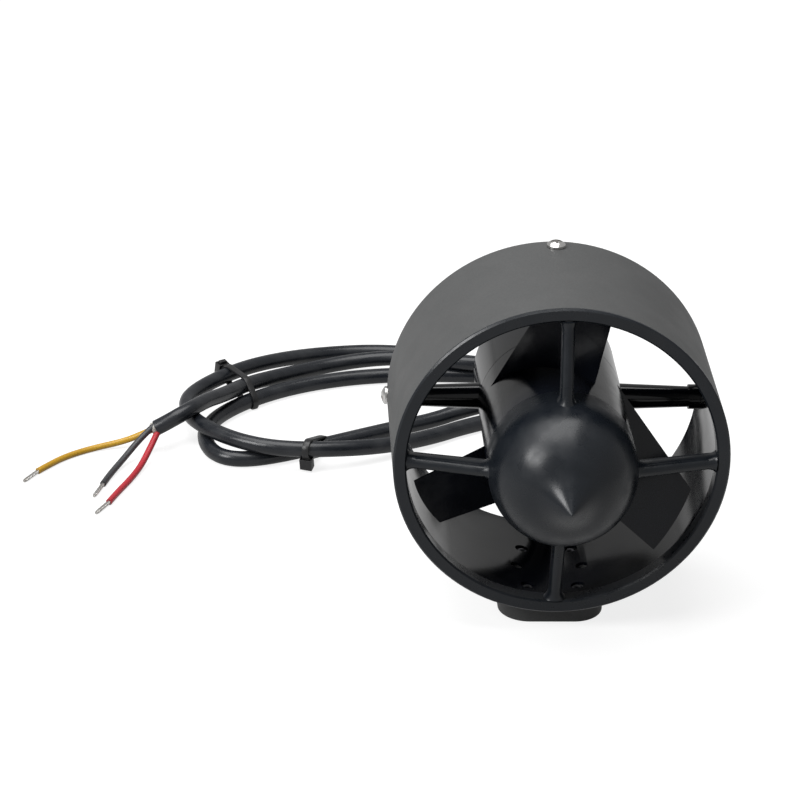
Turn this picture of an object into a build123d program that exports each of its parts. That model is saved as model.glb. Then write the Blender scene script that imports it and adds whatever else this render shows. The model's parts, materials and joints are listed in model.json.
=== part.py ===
from build123d import *
from math import cos, pi, radians, sin, sqrt, tan
import os

# Ducted underwater thruster on a mounting foot, with a coiled three-core cable. Millimetres.
# The origin is the centre of the foot's bottom face. +Z is up and the intake guard faces -Y.
# "Axial" sizes are measured along the duct axis from the middle of the duct, rearwards positive.

# Duct and its axis
AXIS_Z = 79.0              # height of the duct axis over the foot's bottom face
DUCT_Y = 6.5               # the duct's middle stands this far behind the foot's centre
DUCT_RADIUS = 70.0
DUCT_LENGTH = 74.4
DUCT_BORE = 65.4           # radius of the water passage
DUCT_REAR_ROUND = 3.0

# Intake guard
GUARD_FLANGE = 1.6         # thickness of the rim that caps the duct's front end
GUARD_SPIGOT_LENGTH = 7.0  # from the front face to the end of the part inside the duct
GUARD_RECESS = 66.6        # radius of the recess in the duct that takes the spigot
GUARD_OPENING = 64.4       # radius of the intake
RIM_ROUND = 0.7
SPOKE_COUNT = 4
SPOKE_WIDTH = 5.0
SPOKE_RISE = 9.0           # how far the ridge at the nose stands ahead of the duct's front face
SPOKE_DEPTH = 8.5
SPOKE_ROUND = 2.2
SPOKE_SINK = 1.2           # how far a spoke's ends run into the rim and the nose wall

# Nose and hub line
HUB_RADIUS = 31.0
NOSE_SKIRT = 11.3          # straight length behind the round of the nose
NOSE_TIP_RISE = 9.5        # the small cone stands this far beyond the sphere
NOSE_TIP_RADIUS = 10.0     # radius at which the cone leaves the sphere
NOSE_WALL = 2.5

# Propeller
ROTOR_FRONT = -31.0        # axial place of the hub's front face
ROTOR_REAR = 22.0
HUB_WALL = 3.0
BLADE_COUNT = 3
BLADE_TIP_RADIUS = 62.0
BLADE_THICKNESS = 2.6
BLADE_FIRST_ANGLE = 85.65  # angle of the first blade's span line, seen from the front
BLADE_CAMBER = 2.2
BLADE_LOW, BLADE_HIGH = 10.0, 62.6           # distances of the two end sections from the axis
ROOT_LEAD, ROOT_TRAIL = (-10.7, -12.5), (29.1, 8.1)    # (across, axial) ends of the low section
TIP_LEAD, TIP_TRAIL = (-14.1, -26.7), (13.4, -16.0)    # the same ends at the high section

# Motor inside the hub
SHAFT_RADIUS = 4.0
SHAFT_FRONT, SHAFT_REAR = -41.0, 30.0
RUNNING_FIT = 0.04         # shaft in its bushes, on the radius
FIT = 0.05                 # seated round faces of one body, on the radius
SEAT_GAP = 0.1             # curved saddles of the foot and the struts on the duct
END_GAP = 0.4              # gap lines at both ends of the turning hub
AIR_GAP = 0.5              # between magnets and stator
BELL_WALL = 2.0
BELL_FRONT_WALL = 3.0
MAGNET_THICKNESS = 2.0
MAGNET_COUNT = 14
MAGNET_LENGTH = 26.0
STATOR_COUNT = 12          # teeth of the stator
STATOR_LENGTH = 22.0
STATOR_MIDDLE = -4.0       # axial middle of stator and magnets
TOOTH_WIDTH = 3.2
TOOTH_TIP = 2.0            # radial thickness of a tooth's head
SLOT_OPENING = 2.2
STATOR_YOKE = 3.5          # radial thickness of the stator's inner ring
COIL_BUILD = 1.6           # thickness of a winding beside its tooth
BEARING_TUBE_OUTER, BEARING_TUBE_INNER = 9.5, 7.0
BEARING_TUBE_FRONT = -22.0
BUSH_LENGTH = 8.0
BUSH_FLANGE_RADIUS, BUSH_FLANGE = 8.6, 1.2
NUT_ACROSS_FLATS, NUT_HEIGHT = 13.0, 6.0
CLIP_RADIUS, CLIP_THICKNESS, CLIP_GROOVE = 6.6, 1.0, 3.3
HUB_SCREW_CIRCLE = 13.0    # radius of the circle of screws that hold the propeller to the bell

# Rear motor housing, its struts and cover
HOUSING_REAR = 56.0        # axial place of the joint between housing and rear cover
HOUSING_PLATE = 4.5        # front wall of the housing
HOUSING_WALL = 3.5
COVER_REAR = 66.0
COVER_WALL = 3.0
COVER_SPIGOT = 4.0
STRUT_COUNT = 4
STRUT_AXIAL = 29.3
STRUT_ROOT_RADIUS, STRUT_TIP_RADIUS = 5.6, 4.5
STRUT_SHOULDER = 60.5      # distance from the axis at which a strut's end boss starts
STRUT_BOSS_RADIUS = 5.4
STRUT_SCREW_RADIUS, STRUT_SCREW_LENGTH = 2.0, 14.0
STRUT_HEAD_RADIUS, STRUT_HEAD_HEIGHT = 4.0, 2.6
COVER_SCREW_CIRCLE = 22.5
COVER_SCREW_RADIUS, COVER_SCREW_LENGTH = 1.5, 12.0
COVER_HEAD_RADIUS, COVER_HEAD_HEIGHT = 2.8, 1.8
COVER_BOSS_RADIUS = 4.0

# Foot
FOOT_WIDTH, FOOT_LENGTH, FOOT_CORNER = 45.0, 46.0, 13.0
FOOT_EDGE_ROUND = 0.6
FOOT_BOLT_SPACING = 28.0
FOOT_BOLT_HOLE = 2.6
FOOT_SCREW_X, FOOT_SCREW_Y = 10.75, 16.5
FOOT_SCREW_RADIUS, FOOT_SCREW_LENGTH = 1.5, 8.0
FOOT_HEAD_RADIUS, FOOT_HEAD_HEIGHT = 2.7, 1.7
FOOT_SEAT_DEPTH = 2.0      # how deep the small screws' seats are sunk in the duct wall

# Cable gland on the rear cover
GLAND_HEX, GLAND_HEX_LENGTH = 17.0, 4.0
GLAND_THREAD_RADIUS = 6.0
GLAND_NUT_RADIUS, GLAND_NUT_LENGTH = 8.2, 10.0
GLAND_MOUTH = 5.4          # radius of the nut's mouth
GLAND_SEAL_WALL = 1.3

# Cable
CABLE_RADIUS = 3.75
CORE_RADIUS = 1.5
TINNED_RADIUS = 0.95
COIL_HEIGHT, COIL_ROUND = 16.0, 5.0
TIE_WIDTH, TIE_THICKNESS = 2.6, 1.1
TIE_HEAD = 4.8             # side of a tie's square head
RADIUS_SHARE = 0.45        # share of the shorter run that an arc may take

DUCT_FRONT = -DUCT_LENGTH / 2
DUCT_REAR = DUCT_LENGTH / 2
NOSE_BACK = ROTOR_FRONT - END_GAP
NOSE_CENTRE = NOSE_BACK - NOSE_SKIRT
HOUSING_FRONT = ROTOR_REAR + END_GAP
SPIN_AXIS = Axis((0, DUCT_Y, AXIS_Z), (0, 1, 0))

os.makedirs("parts", exist_ok=True)


def profile_plane(angle=90.0):
    """Half plane through the duct axis: x outwards at the angle, y rearwards along the axis."""
    a = radians(angle)
    return Plane(origin=(0, DUCT_Y, AXIS_Z), x_dir=(cos(a), 0, sin(a)), z_dir=(-sin(a), 0, cos(a)))


def cross_plane(axial):
    """Plane across the duct axis, seen from the front; a negative extrusion goes rearwards."""
    return Plane(origin=(0, DUCT_Y + axial, AXIS_Z), x_dir=(1, 0, 0), z_dir=(0, -1, 0))


def radial_plane(angle, radius, axial):
    """Plane that looks outwards at the angle, at that distance from the duct axis."""
    a = radians(angle)
    place = (radius * cos(a), DUCT_Y + axial, AXIS_Z + radius * sin(a))
    return Plane(origin=place, x_dir=(0, 1, 0), z_dir=(cos(a), 0, sin(a)))


def turned_ring(inner, outer, start, end, mode=Mode.ADD):
    """A plain ring about the duct axis, between two radii and two axial places."""
    with BuildSketch(profile_plane()) as section:
        with Locations(((inner + outer) / 2, (start + end) / 2)):
            Rectangle(outer - inner, abs(end - start))
    revolve(section.sketch, axis=SPIN_AXIS, mode=mode)


def add_screw(seat, head_radius, head_height, shank_radius, length, slot=0.0):
    """A pan-head screw: the seat plane lies under the head and looks out of the hole."""
    side = Plane(origin=seat.origin, x_dir=seat.x_dir, z_dir=-seat.y_dir)
    with BuildSketch(side) as outline:
        with BuildLine():
            Polyline((0, head_height), (0, -length), (shank_radius, -length), (shank_radius, 0),
                     (head_radius, 0), (head_radius, 0.35 * head_height))
            TangentArc((0, head_height), (head_radius, 0.35 * head_height), tangent=(1, 0))
        make_face()
    revolve(outline.sketch, axis=Axis(seat.origin, seat.z_dir))
    if slot:
        with BuildSketch(seat.offset(head_height)) as cross:
            Rectangle(1.1 * head_radius, slot)
            Rectangle(slot, 1.1 * head_radius)
        extrude(cross.sketch, amount=-0.55 * head_height, mode=Mode.SUBTRACT)


def cord_tube(label, points, radius):
    """A cord that is not coiled: straight runs joined by arcs as large as the runs allow."""
    corners = [Vector(p) for p in points]
    runs = [b - a for a, b in zip(corners, corners[1:])]
    arcs = []
    for before, after in zip(runs, runs[1:]):
        half_turn = radians(before.get_angle(after)) / 2
        arcs.append(RADIUS_SHARE * min(before.length, after.length) / tan(half_turn))
    with BuildPart() as tube:
        with BuildLine() as path:
            FilletPolyline(*points, radius=arcs)
        with BuildSketch(Plane(origin=path.line @ 0, z_dir=path.line % 0)):
            Circle(radius)
        sweep(path=path.line)
    length = path.wires()[0].length
    share = tube.part.volume / (pi * radius * radius * length)
    print(label, "length", round(length, 1), "volume share", round(share, 4),
          "radii", [round(r, 1) for r in arcs])
    tube.part.label = label
    export_step(tube.part, f"parts/{label}.step")
    return tube.part


# Duct: a straight ring, recessed in front for the guard, rounded at the rear
with BuildPart() as duct_shroud:
    with BuildSketch(profile_plane()):
        with BuildLine():
            Polyline((GUARD_RECESS, DUCT_FRONT + GUARD_FLANGE), (DUCT_RADIUS, DUCT_FRONT + GUARD_FLANGE),
                     (DUCT_RADIUS, DUCT_REAR), (DUCT_BORE, DUCT_REAR),
                     (DUCT_BORE, DUCT_FRONT + GUARD_SPIGOT_LENGTH + FIT),
                     (GUARD_RECESS, DUCT_FRONT + GUARD_SPIGOT_LENGTH + FIT), close=True)
        make_face()
    revolve(axis=SPIN_AXIS)
    fillet(duct_shroud.edges().group_by(Axis.Y)[-1].sort_by(SortBy.LENGTH)[-1], radius=DUCT_REAR_ROUND)
    for strut in range(STRUT_COUNT):
        with BuildSketch(radial_plane(90 * strut, DUCT_BORE - DUCT_REAR_ROUND, STRUT_AXIAL)):
            Circle(STRUT_SCREW_RADIUS + 2 * SEAT_GAP)
        extrude(amount=DUCT_RADIUS - DUCT_BORE + 2 * DUCT_REAR_ROUND, mode=Mode.SUBTRACT)
    with BuildSketch(Plane.XY):
        with GridLocations(FOOT_BOLT_SPACING, 0, 2, 1):
            Circle(FOOT_BOLT_HOLE)
        with GridLocations(2 * FOOT_SCREW_X, 2 * FOOT_SCREW_Y, 2, 2):
            Circle(FOOT_SCREW_RADIUS + SEAT_GAP)
    extrude(amount=AXIS_Z / 2, mode=Mode.SUBTRACT)
    bore_height = AXIS_Z - sqrt(DUCT_BORE ** 2 - FOOT_SCREW_X ** 2)
    foot_seat_height = bore_height - FOOT_SEAT_DEPTH
    with BuildSketch(Plane.XY.offset(foot_seat_height)):
        with GridLocations(2 * FOOT_SCREW_X, 2 * FOOT_SCREW_Y, 2, 2):
            Circle(FOOT_HEAD_RADIUS + SEAT_GAP)
    extrude(amount=AXIS_Z / 2, mode=Mode.SUBTRACT)
duct_shroud.part.label = "duct_shroud"
export_step(duct_shroud.part, "parts/duct_shroud.step")


# Intake guard: rim, four ridged spokes and the hollow nose in one moulding
with BuildPart() as front_guard:
    ridge_out = DUCT_FRONT + RIM_ROUND
    ridge_in = DUCT_FRONT - SPOKE_RISE
    spoke_in, spoke_out = HUB_RADIUS - SPOKE_SINK, GUARD_OPENING + SPOKE_SINK
    for spoke in range(SPOKE_COUNT):
        with BuildSketch(profile_plane(90 * spoke)):
            with BuildLine():
                Polyline((spoke_in, ridge_in), (spoke_out, ridge_out),
                         (spoke_out, DUCT_FRONT + GUARD_SPIGOT_LENGTH),
                         (GUARD_OPENING - 1, DUCT_FRONT + GUARD_SPIGOT_LENGTH),
                         (spoke_in, ridge_in + SPOKE_DEPTH), close=True)
            make_face()
        extrude(amount=SPOKE_WIDTH / 2, both=True)
    ridge_line = DUCT_Y + (ridge_in + ridge_out) / 2
    ridges = [e for e in front_guard.edges().filter_by(GeomType.LINE)
              if e.length > HUB_RADIUS and abs((e @ 0.5).Y - ridge_line) < 1]
    fillet(ridges, radius=SPOKE_ROUND)
    with BuildSketch(profile_plane()):
        with BuildLine():
            Polyline((GUARD_OPENING, DUCT_FRONT + RIM_ROUND), (GUARD_OPENING + RIM_ROUND, DUCT_FRONT),
                     (DUCT_RADIUS - RIM_ROUND, DUCT_FRONT), (DUCT_RADIUS, DUCT_FRONT + RIM_ROUND),
                     (DUCT_RADIUS, DUCT_FRONT + GUARD_FLANGE),
                     (GUARD_RECESS - FIT, DUCT_FRONT + GUARD_FLANGE),
                     (GUARD_RECESS - FIT, DUCT_FRONT + GUARD_SPIGOT_LENGTH),
                     (GUARD_OPENING, DUCT_FRONT + GUARD_SPIGOT_LENGTH), close=True)
        make_face()
    revolve(axis=SPIN_AXIS)
    tip_base = NOSE_CENTRE - sqrt(HUB_RADIUS ** 2 - NOSE_TIP_RADIUS ** 2)
    nose_tip = NOSE_CENTRE - HUB_RADIUS - NOSE_TIP_RISE
    with BuildSketch(profile_plane()):
        with BuildLine():
            Line((0, nose_tip), (0, NOSE_BACK))
            Line((0, NOSE_BACK), (HUB_RADIUS, NOSE_BACK))
            Line((HUB_RADIUS, NOSE_BACK), (HUB_RADIUS, NOSE_CENTRE))
            diagonal = (NOSE_TIP_RADIUS + HUB_RADIUS) / 2
            on_sphere = (diagonal, NOSE_CENTRE - sqrt(HUB_RADIUS ** 2 - diagonal ** 2))
            ThreePointArc((HUB_RADIUS, NOSE_CENTRE), on_sphere, (NOSE_TIP_RADIUS, tip_base))
            Bezier((NOSE_TIP_RADIUS, tip_base), (0.45 * NOSE_TIP_RADIUS, tip_base - 2.0),
                   (0.2 * NOSE_TIP_RADIUS, tip_base - 4.0), (0, nose_tip))
        make_face()
    revolve(axis=SPIN_AXIS)
    with BuildSketch(profile_plane()):
        with BuildLine():
            inside = HUB_RADIUS - NOSE_WALL
            Polyline((inside, NOSE_CENTRE), (inside, NOSE_BACK + 1), (0, NOSE_BACK + 1),
                     (0, NOSE_CENTRE - inside))
            ThreePointArc((0, NOSE_CENTRE - inside),
                          (inside * sin(pi / 4), NOSE_CENTRE - inside * cos(pi / 4)), (inside, NOSE_CENTRE))
        make_face()
    revolve(axis=SPIN_AXIS, mode=Mode.SUBTRACT)
front_guard.part.label = "front_guard"
export_step(front_guard.part, "parts/front_guard.step")


# Foot: a pad with a saddle for the duct, bolted down through two long holes
with BuildPart() as mounting_foot:
    with BuildSketch(Plane.XY):
        RectangleRounded(FOOT_WIDTH, FOOT_LENGTH, FOOT_CORNER)
    extrude(amount=AXIS_Z / 2)
    turned_ring(0, DUCT_RADIUS + SEAT_GAP, DUCT_FRONT - 1, DUCT_REAR + 1, mode=Mode.SUBTRACT)
    fillet(mounting_foot.edges().group_by(Axis.Z)[0], radius=FOOT_EDGE_ROUND)
    with BuildSketch(Plane.XY):
        with GridLocations(FOOT_BOLT_SPACING, 0, 2, 1):
            Circle(FOOT_BOLT_HOLE)
    extrude(amount=AXIS_Z / 2, mode=Mode.SUBTRACT)
    with BuildSketch(Plane.XY.offset(foot_seat_height - FOOT_SCREW_LENGTH - 2 * SEAT_GAP)):
        with GridLocations(2 * FOOT_SCREW_X, 2 * FOOT_SCREW_Y, 2, 2):
            Circle(FOOT_SCREW_RADIUS + FIT)
    extrude(amount=AXIS_Z / 2, mode=Mode.SUBTRACT)
mounting_foot.part.label = "mounting_foot"
export_step(mounting_foot.part, "parts/mounting_foot.step")


with BuildPart() as foot_screws:
    for x in (-FOOT_SCREW_X, FOOT_SCREW_X):
        for y in (-FOOT_SCREW_Y, FOOT_SCREW_Y):
            add_screw(Plane(origin=(x, y, foot_seat_height)), FOOT_HEAD_RADIUS, FOOT_HEAD_HEIGHT,
                      FOOT_SCREW_RADIUS, FOOT_SCREW_LENGTH)
foot_screws.part.label = "foot_screws"
export_step(foot_screws.part, "parts/foot_screws.step")


# Motor housing: a round can behind the rotor, held in the duct by four tapered struts
with BuildPart() as motor_mount:
    for strut in range(STRUT_COUNT):
        side = profile_plane(90 * strut)
        with BuildSketch(side):
            with BuildLine():
                Polyline((HUB_RADIUS - HOUSING_WALL, STRUT_AXIAL),
                         (HUB_RADIUS - HOUSING_WALL, STRUT_AXIAL - STRUT_ROOT_RADIUS),
                         (HUB_RADIUS, STRUT_AXIAL - STRUT_ROOT_RADIUS),
                         (STRUT_SHOULDER, STRUT_AXIAL - STRUT_TIP_RADIUS),
                         (STRUT_SHOULDER, STRUT_AXIAL - STRUT_BOSS_RADIUS),
                         (DUCT_BORE, STRUT_AXIAL - STRUT_BOSS_RADIUS),
                         (DUCT_BORE, STRUT_AXIAL), close=True)
            make_face()
        revolve(axis=Axis(side.from_local_coords((0, STRUT_AXIAL, 0)), side.x_dir))
    with BuildSketch(profile_plane()):
        with BuildLine():
            inside = HUB_RADIUS - HOUSING_WALL
            Polyline((BEARING_TUBE_OUTER + FIT, HOUSING_FRONT), (HUB_RADIUS, HOUSING_FRONT),
                     (HUB_RADIUS, HOUSING_REAR), (inside, HOUSING_REAR),
                     (inside, HOUSING_FRONT + HOUSING_PLATE),
                     (BEARING_TUBE_OUTER + FIT, HOUSING_FRONT + HOUSING_PLATE), close=True)
        make_face()
    revolve(axis=SPIN_AXIS)
    turned_ring(DUCT_BORE - SEAT_GAP, DUCT_RADIUS, STRUT_AXIAL - 2 * STRUT_BOSS_RADIUS,
                STRUT_AXIAL + 2 * STRUT_BOSS_RADIUS, mode=Mode.SUBTRACT)
    boss_start = HOUSING_FRONT + HOUSING_PLATE / 2
    with BuildSketch(cross_plane(boss_start)):
        with PolarLocations(COVER_SCREW_CIRCLE, 4, start_angle=45):
            Circle(COVER_BOSS_RADIUS)
    extrude(amount=boss_start - HOUSING_REAR + COVER_SPIGOT + FIT)
    with BuildSketch(cross_plane(HOUSING_REAR)):
        with PolarLocations(COVER_SCREW_CIRCLE, 4, start_angle=45):
            Circle(COVER_SCREW_RADIUS + FIT)
    extrude(amount=COVER_SCREW_LENGTH + COVER_SPIGOT, mode=Mode.SUBTRACT)
    for strut in range(STRUT_COUNT):
        with BuildSketch(radial_plane(90 * strut, DUCT_BORE, STRUT_AXIAL)):
            Circle(STRUT_SCREW_RADIUS + FIT)
        extrude(amount=-STRUT_SCREW_LENGTH, mode=Mode.SUBTRACT)
motor_mount.part.label = "motor_mount"
export_step(motor_mount.part, "parts/motor_mount.step")


strut_head_seat = DUCT_RADIUS + 1.5 * SEAT_GAP
with BuildPart() as strut_screws:
    for strut in range(STRUT_COUNT):
        add_screw(radial_plane(90 * strut, strut_head_seat, STRUT_AXIAL), STRUT_HEAD_RADIUS,
                  STRUT_HEAD_HEIGHT, STRUT_SCREW_RADIUS, STRUT_SCREW_LENGTH, slot=1.0)
strut_screws.part.label = "strut_screws"
export_step(strut_screws.part, "parts/strut_screws.step")


# Rear cover: a shallow dome with a spigot in the housing and a flat for the gland
gland_flat = GLAND_HEX / sqrt(3) + 1.0
with BuildPart() as rear_cover:
    with BuildSketch(profile_plane()):
        with BuildLine():
            spigot = HUB_RADIUS - HOUSING_WALL - FIT
            Polyline((HUB_RADIUS, HOUSING_REAR), (spigot, HOUSING_REAR),
                     (spigot, HOUSING_REAR - COVER_SPIGOT), (spigot - 2, HOUSING_REAR - COVER_SPIGOT),
                     (spigot - 2, COVER_REAR - COVER_WALL - 2),
                     (spigot - 6, COVER_REAR - COVER_WALL), (0, COVER_REAR - COVER_WALL),
                     (0, COVER_REAR), (gland_flat, COVER_REAR))
            Bezier((gland_flat, COVER_REAR), (0.72 * HUB_RADIUS, COVER_REAR),
                   (HUB_RADIUS, COVER_REAR - 1.5), (HUB_RADIUS, HOUSING_REAR))
        make_face()
    revolve(axis=SPIN_AXIS)
    with BuildSketch(cross_plane(COVER_REAR)):
        Circle(GLAND_THREAD_RADIUS + FIT)
    extrude(amount=2 * COVER_WALL, mode=Mode.SUBTRACT)
    cover_seat = COVER_REAR - COVER_HEAD_HEIGHT - 1.6
    with BuildSketch(cross_plane(COVER_REAR + 1)):
        with PolarLocations(COVER_SCREW_CIRCLE, 4, start_angle=45):
            Circle(COVER_HEAD_RADIUS + 3 * SEAT_GAP)
    extrude(amount=COVER_REAR + 1 - cover_seat, mode=Mode.SUBTRACT)
    with BuildSketch(cross_plane(cover_seat)):
        with PolarLocations(COVER_SCREW_CIRCLE, 4, start_angle=45):
            Circle(COVER_BOSS_RADIUS)
    extrude(amount=cover_seat - HOUSING_REAR + COVER_SPIGOT)
    with BuildSketch(cross_plane(COVER_REAR)):
        with PolarLocations(COVER_SCREW_CIRCLE, 4, start_angle=45):
            Circle(COVER_SCREW_RADIUS + 2 * SEAT_GAP)
    extrude(amount=COVER_REAR - HOUSING_REAR + 2 * COVER_SPIGOT, mode=Mode.SUBTRACT)
rear_cover.part.label = "rear_cover"
export_step(rear_cover.part, "parts/rear_cover.step")


with BuildPart() as cover_screws:
    for corner in range(4):
        a = radians(45 + 90 * corner)
        place = (COVER_SCREW_CIRCLE * cos(a), DUCT_Y + cover_seat, AXIS_Z + COVER_SCREW_CIRCLE * sin(a))
        add_screw(Plane(origin=place, x_dir=(1, 0, 0), z_dir=(0, 1, 0)), COVER_HEAD_RADIUS,
                  COVER_HEAD_HEIGHT, COVER_SCREW_RADIUS, COVER_SCREW_LENGTH + COVER_SPIGOT, slot=0.8)
cover_screws.part.label = "cover_screws"
export_step(cover_screws.part, "parts/cover_screws.step")


# Gland: hexagonal body in the cover, domed nut and a rubber sleeve on the cable
gland_hex_end = COVER_REAR + GLAND_HEX_LENGTH
gland_end = gland_hex_end + GLAND_NUT_LENGTH
seal_outer = CABLE_RADIUS + FIT + GLAND_SEAL_WALL
with BuildPart() as cable_gland:
    with BuildSketch(cross_plane(COVER_REAR)):
        RegularPolygon(GLAND_HEX / 2, 6, major_radius=False)
    extrude(amount=-GLAND_HEX_LENGTH)
    turned_ring(0, GLAND_THREAD_RADIUS, COVER_REAR - COVER_WALL - 2, COVER_REAR)
    turned_ring(0, GLAND_THREAD_RADIUS, gland_hex_end, gland_end - 3)
    turned_ring(0, seal_outer + FIT, gland_hex_end, gland_end, mode=Mode.SUBTRACT)
    turned_ring(0, CABLE_RADIUS + FIT, COVER_REAR - COVER_WALL - 3, gland_end, mode=Mode.SUBTRACT)
cable_gland.part.label = "cable_gland"
export_step(cable_gland.part, "parts/cable_gland.step")


with BuildPart() as gland_nut:
    with BuildSketch(profile_plane()):
        with BuildLine():
            Polyline((GLAND_THREAD_RADIUS + FIT, gland_hex_end + FIT), (GLAND_NUT_RADIUS, gland_hex_end + FIT),
                     (GLAND_NUT_RADIUS, gland_end - 3.5), (GLAND_MOUTH + 1.2, gland_end),
                     (GLAND_MOUTH, gland_end), (GLAND_MOUTH, gland_end - 1.5),
                     (GLAND_THREAD_RADIUS + FIT, gland_end - 2.5), close=True)
        make_face()
    revolve(axis=SPIN_AXIS)
    with BuildSketch(cross_plane(gland_hex_end + FIT)):
        with PolarLocations(GLAND_NUT_RADIUS + 0.4, 12):
            Circle(1.0)
    extrude(amount=3.5 - GLAND_NUT_LENGTH, mode=Mode.SUBTRACT)
gland_nut.part.label = "gland_nut"
export_step(gland_nut.part, "parts/gland_nut.step")


with BuildPart() as gland_seal:
    turned_ring(CABLE_RADIUS + FIT, seal_outer, gland_hex_end + FIT, gland_end)
gland_seal.part.label = "gland_seal"
export_step(gland_seal.part, "parts/gland_seal.step")


# Bearing tube and its two flanged bushes
with BuildPart() as bearing_tube:
    turned_ring(BEARING_TUBE_INNER, BEARING_TUBE_OUTER, BEARING_TUBE_FRONT, HOUSING_FRONT + HOUSING_PLATE)
bearing_tube.part.label = "bearing_tube"
export_step(bearing_tube.part, "parts/bearing_tube.step")


def make_bush(label, mouth, inwards):
    """A flanged bush in one end of the bearing tube; inwards is the way along the axis."""
    with BuildPart() as bush:
        turned_ring(SHAFT_RADIUS + RUNNING_FIT, BEARING_TUBE_INNER - FIT, mouth, mouth + inwards * BUSH_LENGTH)
        turned_ring(SHAFT_RADIUS + RUNNING_FIT, BUSH_FLANGE_RADIUS, mouth - inwards * BUSH_FLANGE, mouth)
    bush.part.label = label
    export_step(bush.part, f"parts/{label}.step")


make_bush("front_bush", BEARING_TUBE_FRONT, 1)
make_bush("rear_bush", HOUSING_FRONT + HOUSING_PLATE, -1)


# Stator: toothed iron core on the bearing tube, with a winding on each tooth
magnet_outer = HUB_RADIUS - HUB_WALL - FIT - BELL_WALL - FIT
magnet_inner = magnet_outer - MAGNET_THICKNESS
stator_outer = magnet_inner - AIR_GAP
stator_hole = BEARING_TUBE_OUTER + FIT
stator_front = STATOR_MIDDLE - STATOR_LENGTH / 2
stator_rear = STATOR_MIDDLE + STATOR_LENGTH / 2
tooth_pitch = 360 / STATOR_COUNT
with BuildPart() as stator_core:
    with BuildSketch(cross_plane(stator_front)):
        Circle(stator_outer)
        Circle(stator_outer - TOOTH_TIP, mode=Mode.SUBTRACT)
        with PolarLocations(stator_outer - TOOTH_TIP / 2, STATOR_COUNT, start_angle=tooth_pitch / 2):
            Rectangle(2 * TOOTH_TIP, SLOT_OPENING, mode=Mode.SUBTRACT)
        tooth_reach = stator_outer - TOOTH_TIP / 2 - stator_hole
        with PolarLocations(stator_hole + tooth_reach / 2, STATOR_COUNT):
            Rectangle(tooth_reach, TOOTH_WIDTH)
        Circle(stator_hole + STATOR_YOKE)
        Circle(stator_hole, mode=Mode.SUBTRACT)
    extrude(amount=-STATOR_LENGTH)
stator_core.part.label = "stator_core"
export_step(stator_core.part, "parts/stator_core.step")


with BuildPart() as windings:
    coil_in = stator_hole + STATOR_YOKE + 3 * SEAT_GAP
    coil_out = stator_outer - TOOTH_TIP - 3 * SEAT_GAP
    coil_across = TOOTH_WIDTH + 2 * COIL_BUILD
    coil_overhang = COIL_BUILD + SEAT_GAP
    with BuildSketch(cross_plane(stator_front - coil_overhang)):
        with PolarLocations((coil_in + coil_out) / 2, STATOR_COUNT):
            Rectangle(coil_out - coil_in, coil_across)
    extrude(amount=-(STATOR_LENGTH + 2 * coil_overhang))
    with BuildSketch(cross_plane(stator_front - SEAT_GAP)):
        with PolarLocations((coil_in + coil_out) / 2, STATOR_COUNT):
            Rectangle(2 * coil_out, TOOTH_WIDTH + 2 * SEAT_GAP)
    extrude(amount=-(STATOR_LENGTH + 2 * SEAT_GAP), mode=Mode.SUBTRACT)
windings.part.label = "windings"
export_step(windings.part, "parts/windings.step")


# Rotor: steel bell with magnets, on the shaft, inside the propeller's hub
bell_front = ROTOR_FRONT + HUB_WALL + FIT
bell_outer = HUB_RADIUS - HUB_WALL - FIT
with BuildPart() as rotor_bell:
    turned_ring(bell_outer - BELL_WALL, bell_outer, bell_front, ROTOR_REAR - 4)
    turned_ring(SHAFT_RADIUS + FIT / 2, bell_outer, bell_front, bell_front + BELL_FRONT_WALL)
    with BuildSketch(cross_plane(bell_front)):
        with PolarLocations(HUB_SCREW_CIRCLE, 4, start_angle=45):
            Circle(COVER_SCREW_RADIUS + FIT)
    extrude(amount=-BELL_FRONT_WALL, mode=Mode.SUBTRACT)
rotor_bell.part.label = "rotor_bell"
export_step(rotor_bell.part, "parts/rotor_bell.step")


with BuildPart() as magnets:
    turned_ring(magnet_inner, magnet_outer, STATOR_MIDDLE - MAGNET_LENGTH / 2, STATOR_MIDDLE + MAGNET_LENGTH / 2)
    with BuildSketch(cross_plane(STATOR_MIDDLE - MAGNET_LENGTH / 2)):
        with PolarLocations(magnet_outer, MAGNET_COUNT):
            Rectangle(3 * MAGNET_THICKNESS, 1.0)
    extrude(amount=-MAGNET_LENGTH, mode=Mode.SUBTRACT)
magnets.part.label = "magnets"
export_step(magnets.part, "parts/magnets.step")


with BuildPart() as shaft:
    turned_ring(0, SHAFT_RADIUS, SHAFT_FRONT, SHAFT_REAR)
    clip_front = HOUSING_FRONT + HOUSING_PLATE + BUSH_FLANGE + 2 * SEAT_GAP
    turned_ring(CLIP_GROOVE, SHAFT_RADIUS + 1, clip_front, clip_front + CLIP_THICKNESS + SEAT_GAP,
                mode=Mode.SUBTRACT)
    chamfer(shaft.edges().group_by(Axis.Y)[0], length=0.8)
shaft.part.label = "shaft"
export_step(shaft.part, "parts/shaft.step")


with BuildPart() as retaining_clip:
    turned_ring(CLIP_GROOVE + FIT, CLIP_RADIUS, clip_front + FIT, clip_front + FIT + CLIP_THICKNESS)
    with BuildSketch(cross_plane(clip_front)):
        with Locations((0, -CLIP_RADIUS)):
            Rectangle(1.6 * CLIP_GROOVE, 2 * CLIP_RADIUS)
    extrude(amount=-2 * CLIP_THICKNESS, mode=Mode.SUBTRACT)
retaining_clip.part.label = "retaining_clip"
export_step(retaining_clip.part, "parts/retaining_clip.step")


# One blade: a cambered plate lofted between two sections, cut to its outline seen from the front

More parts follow.
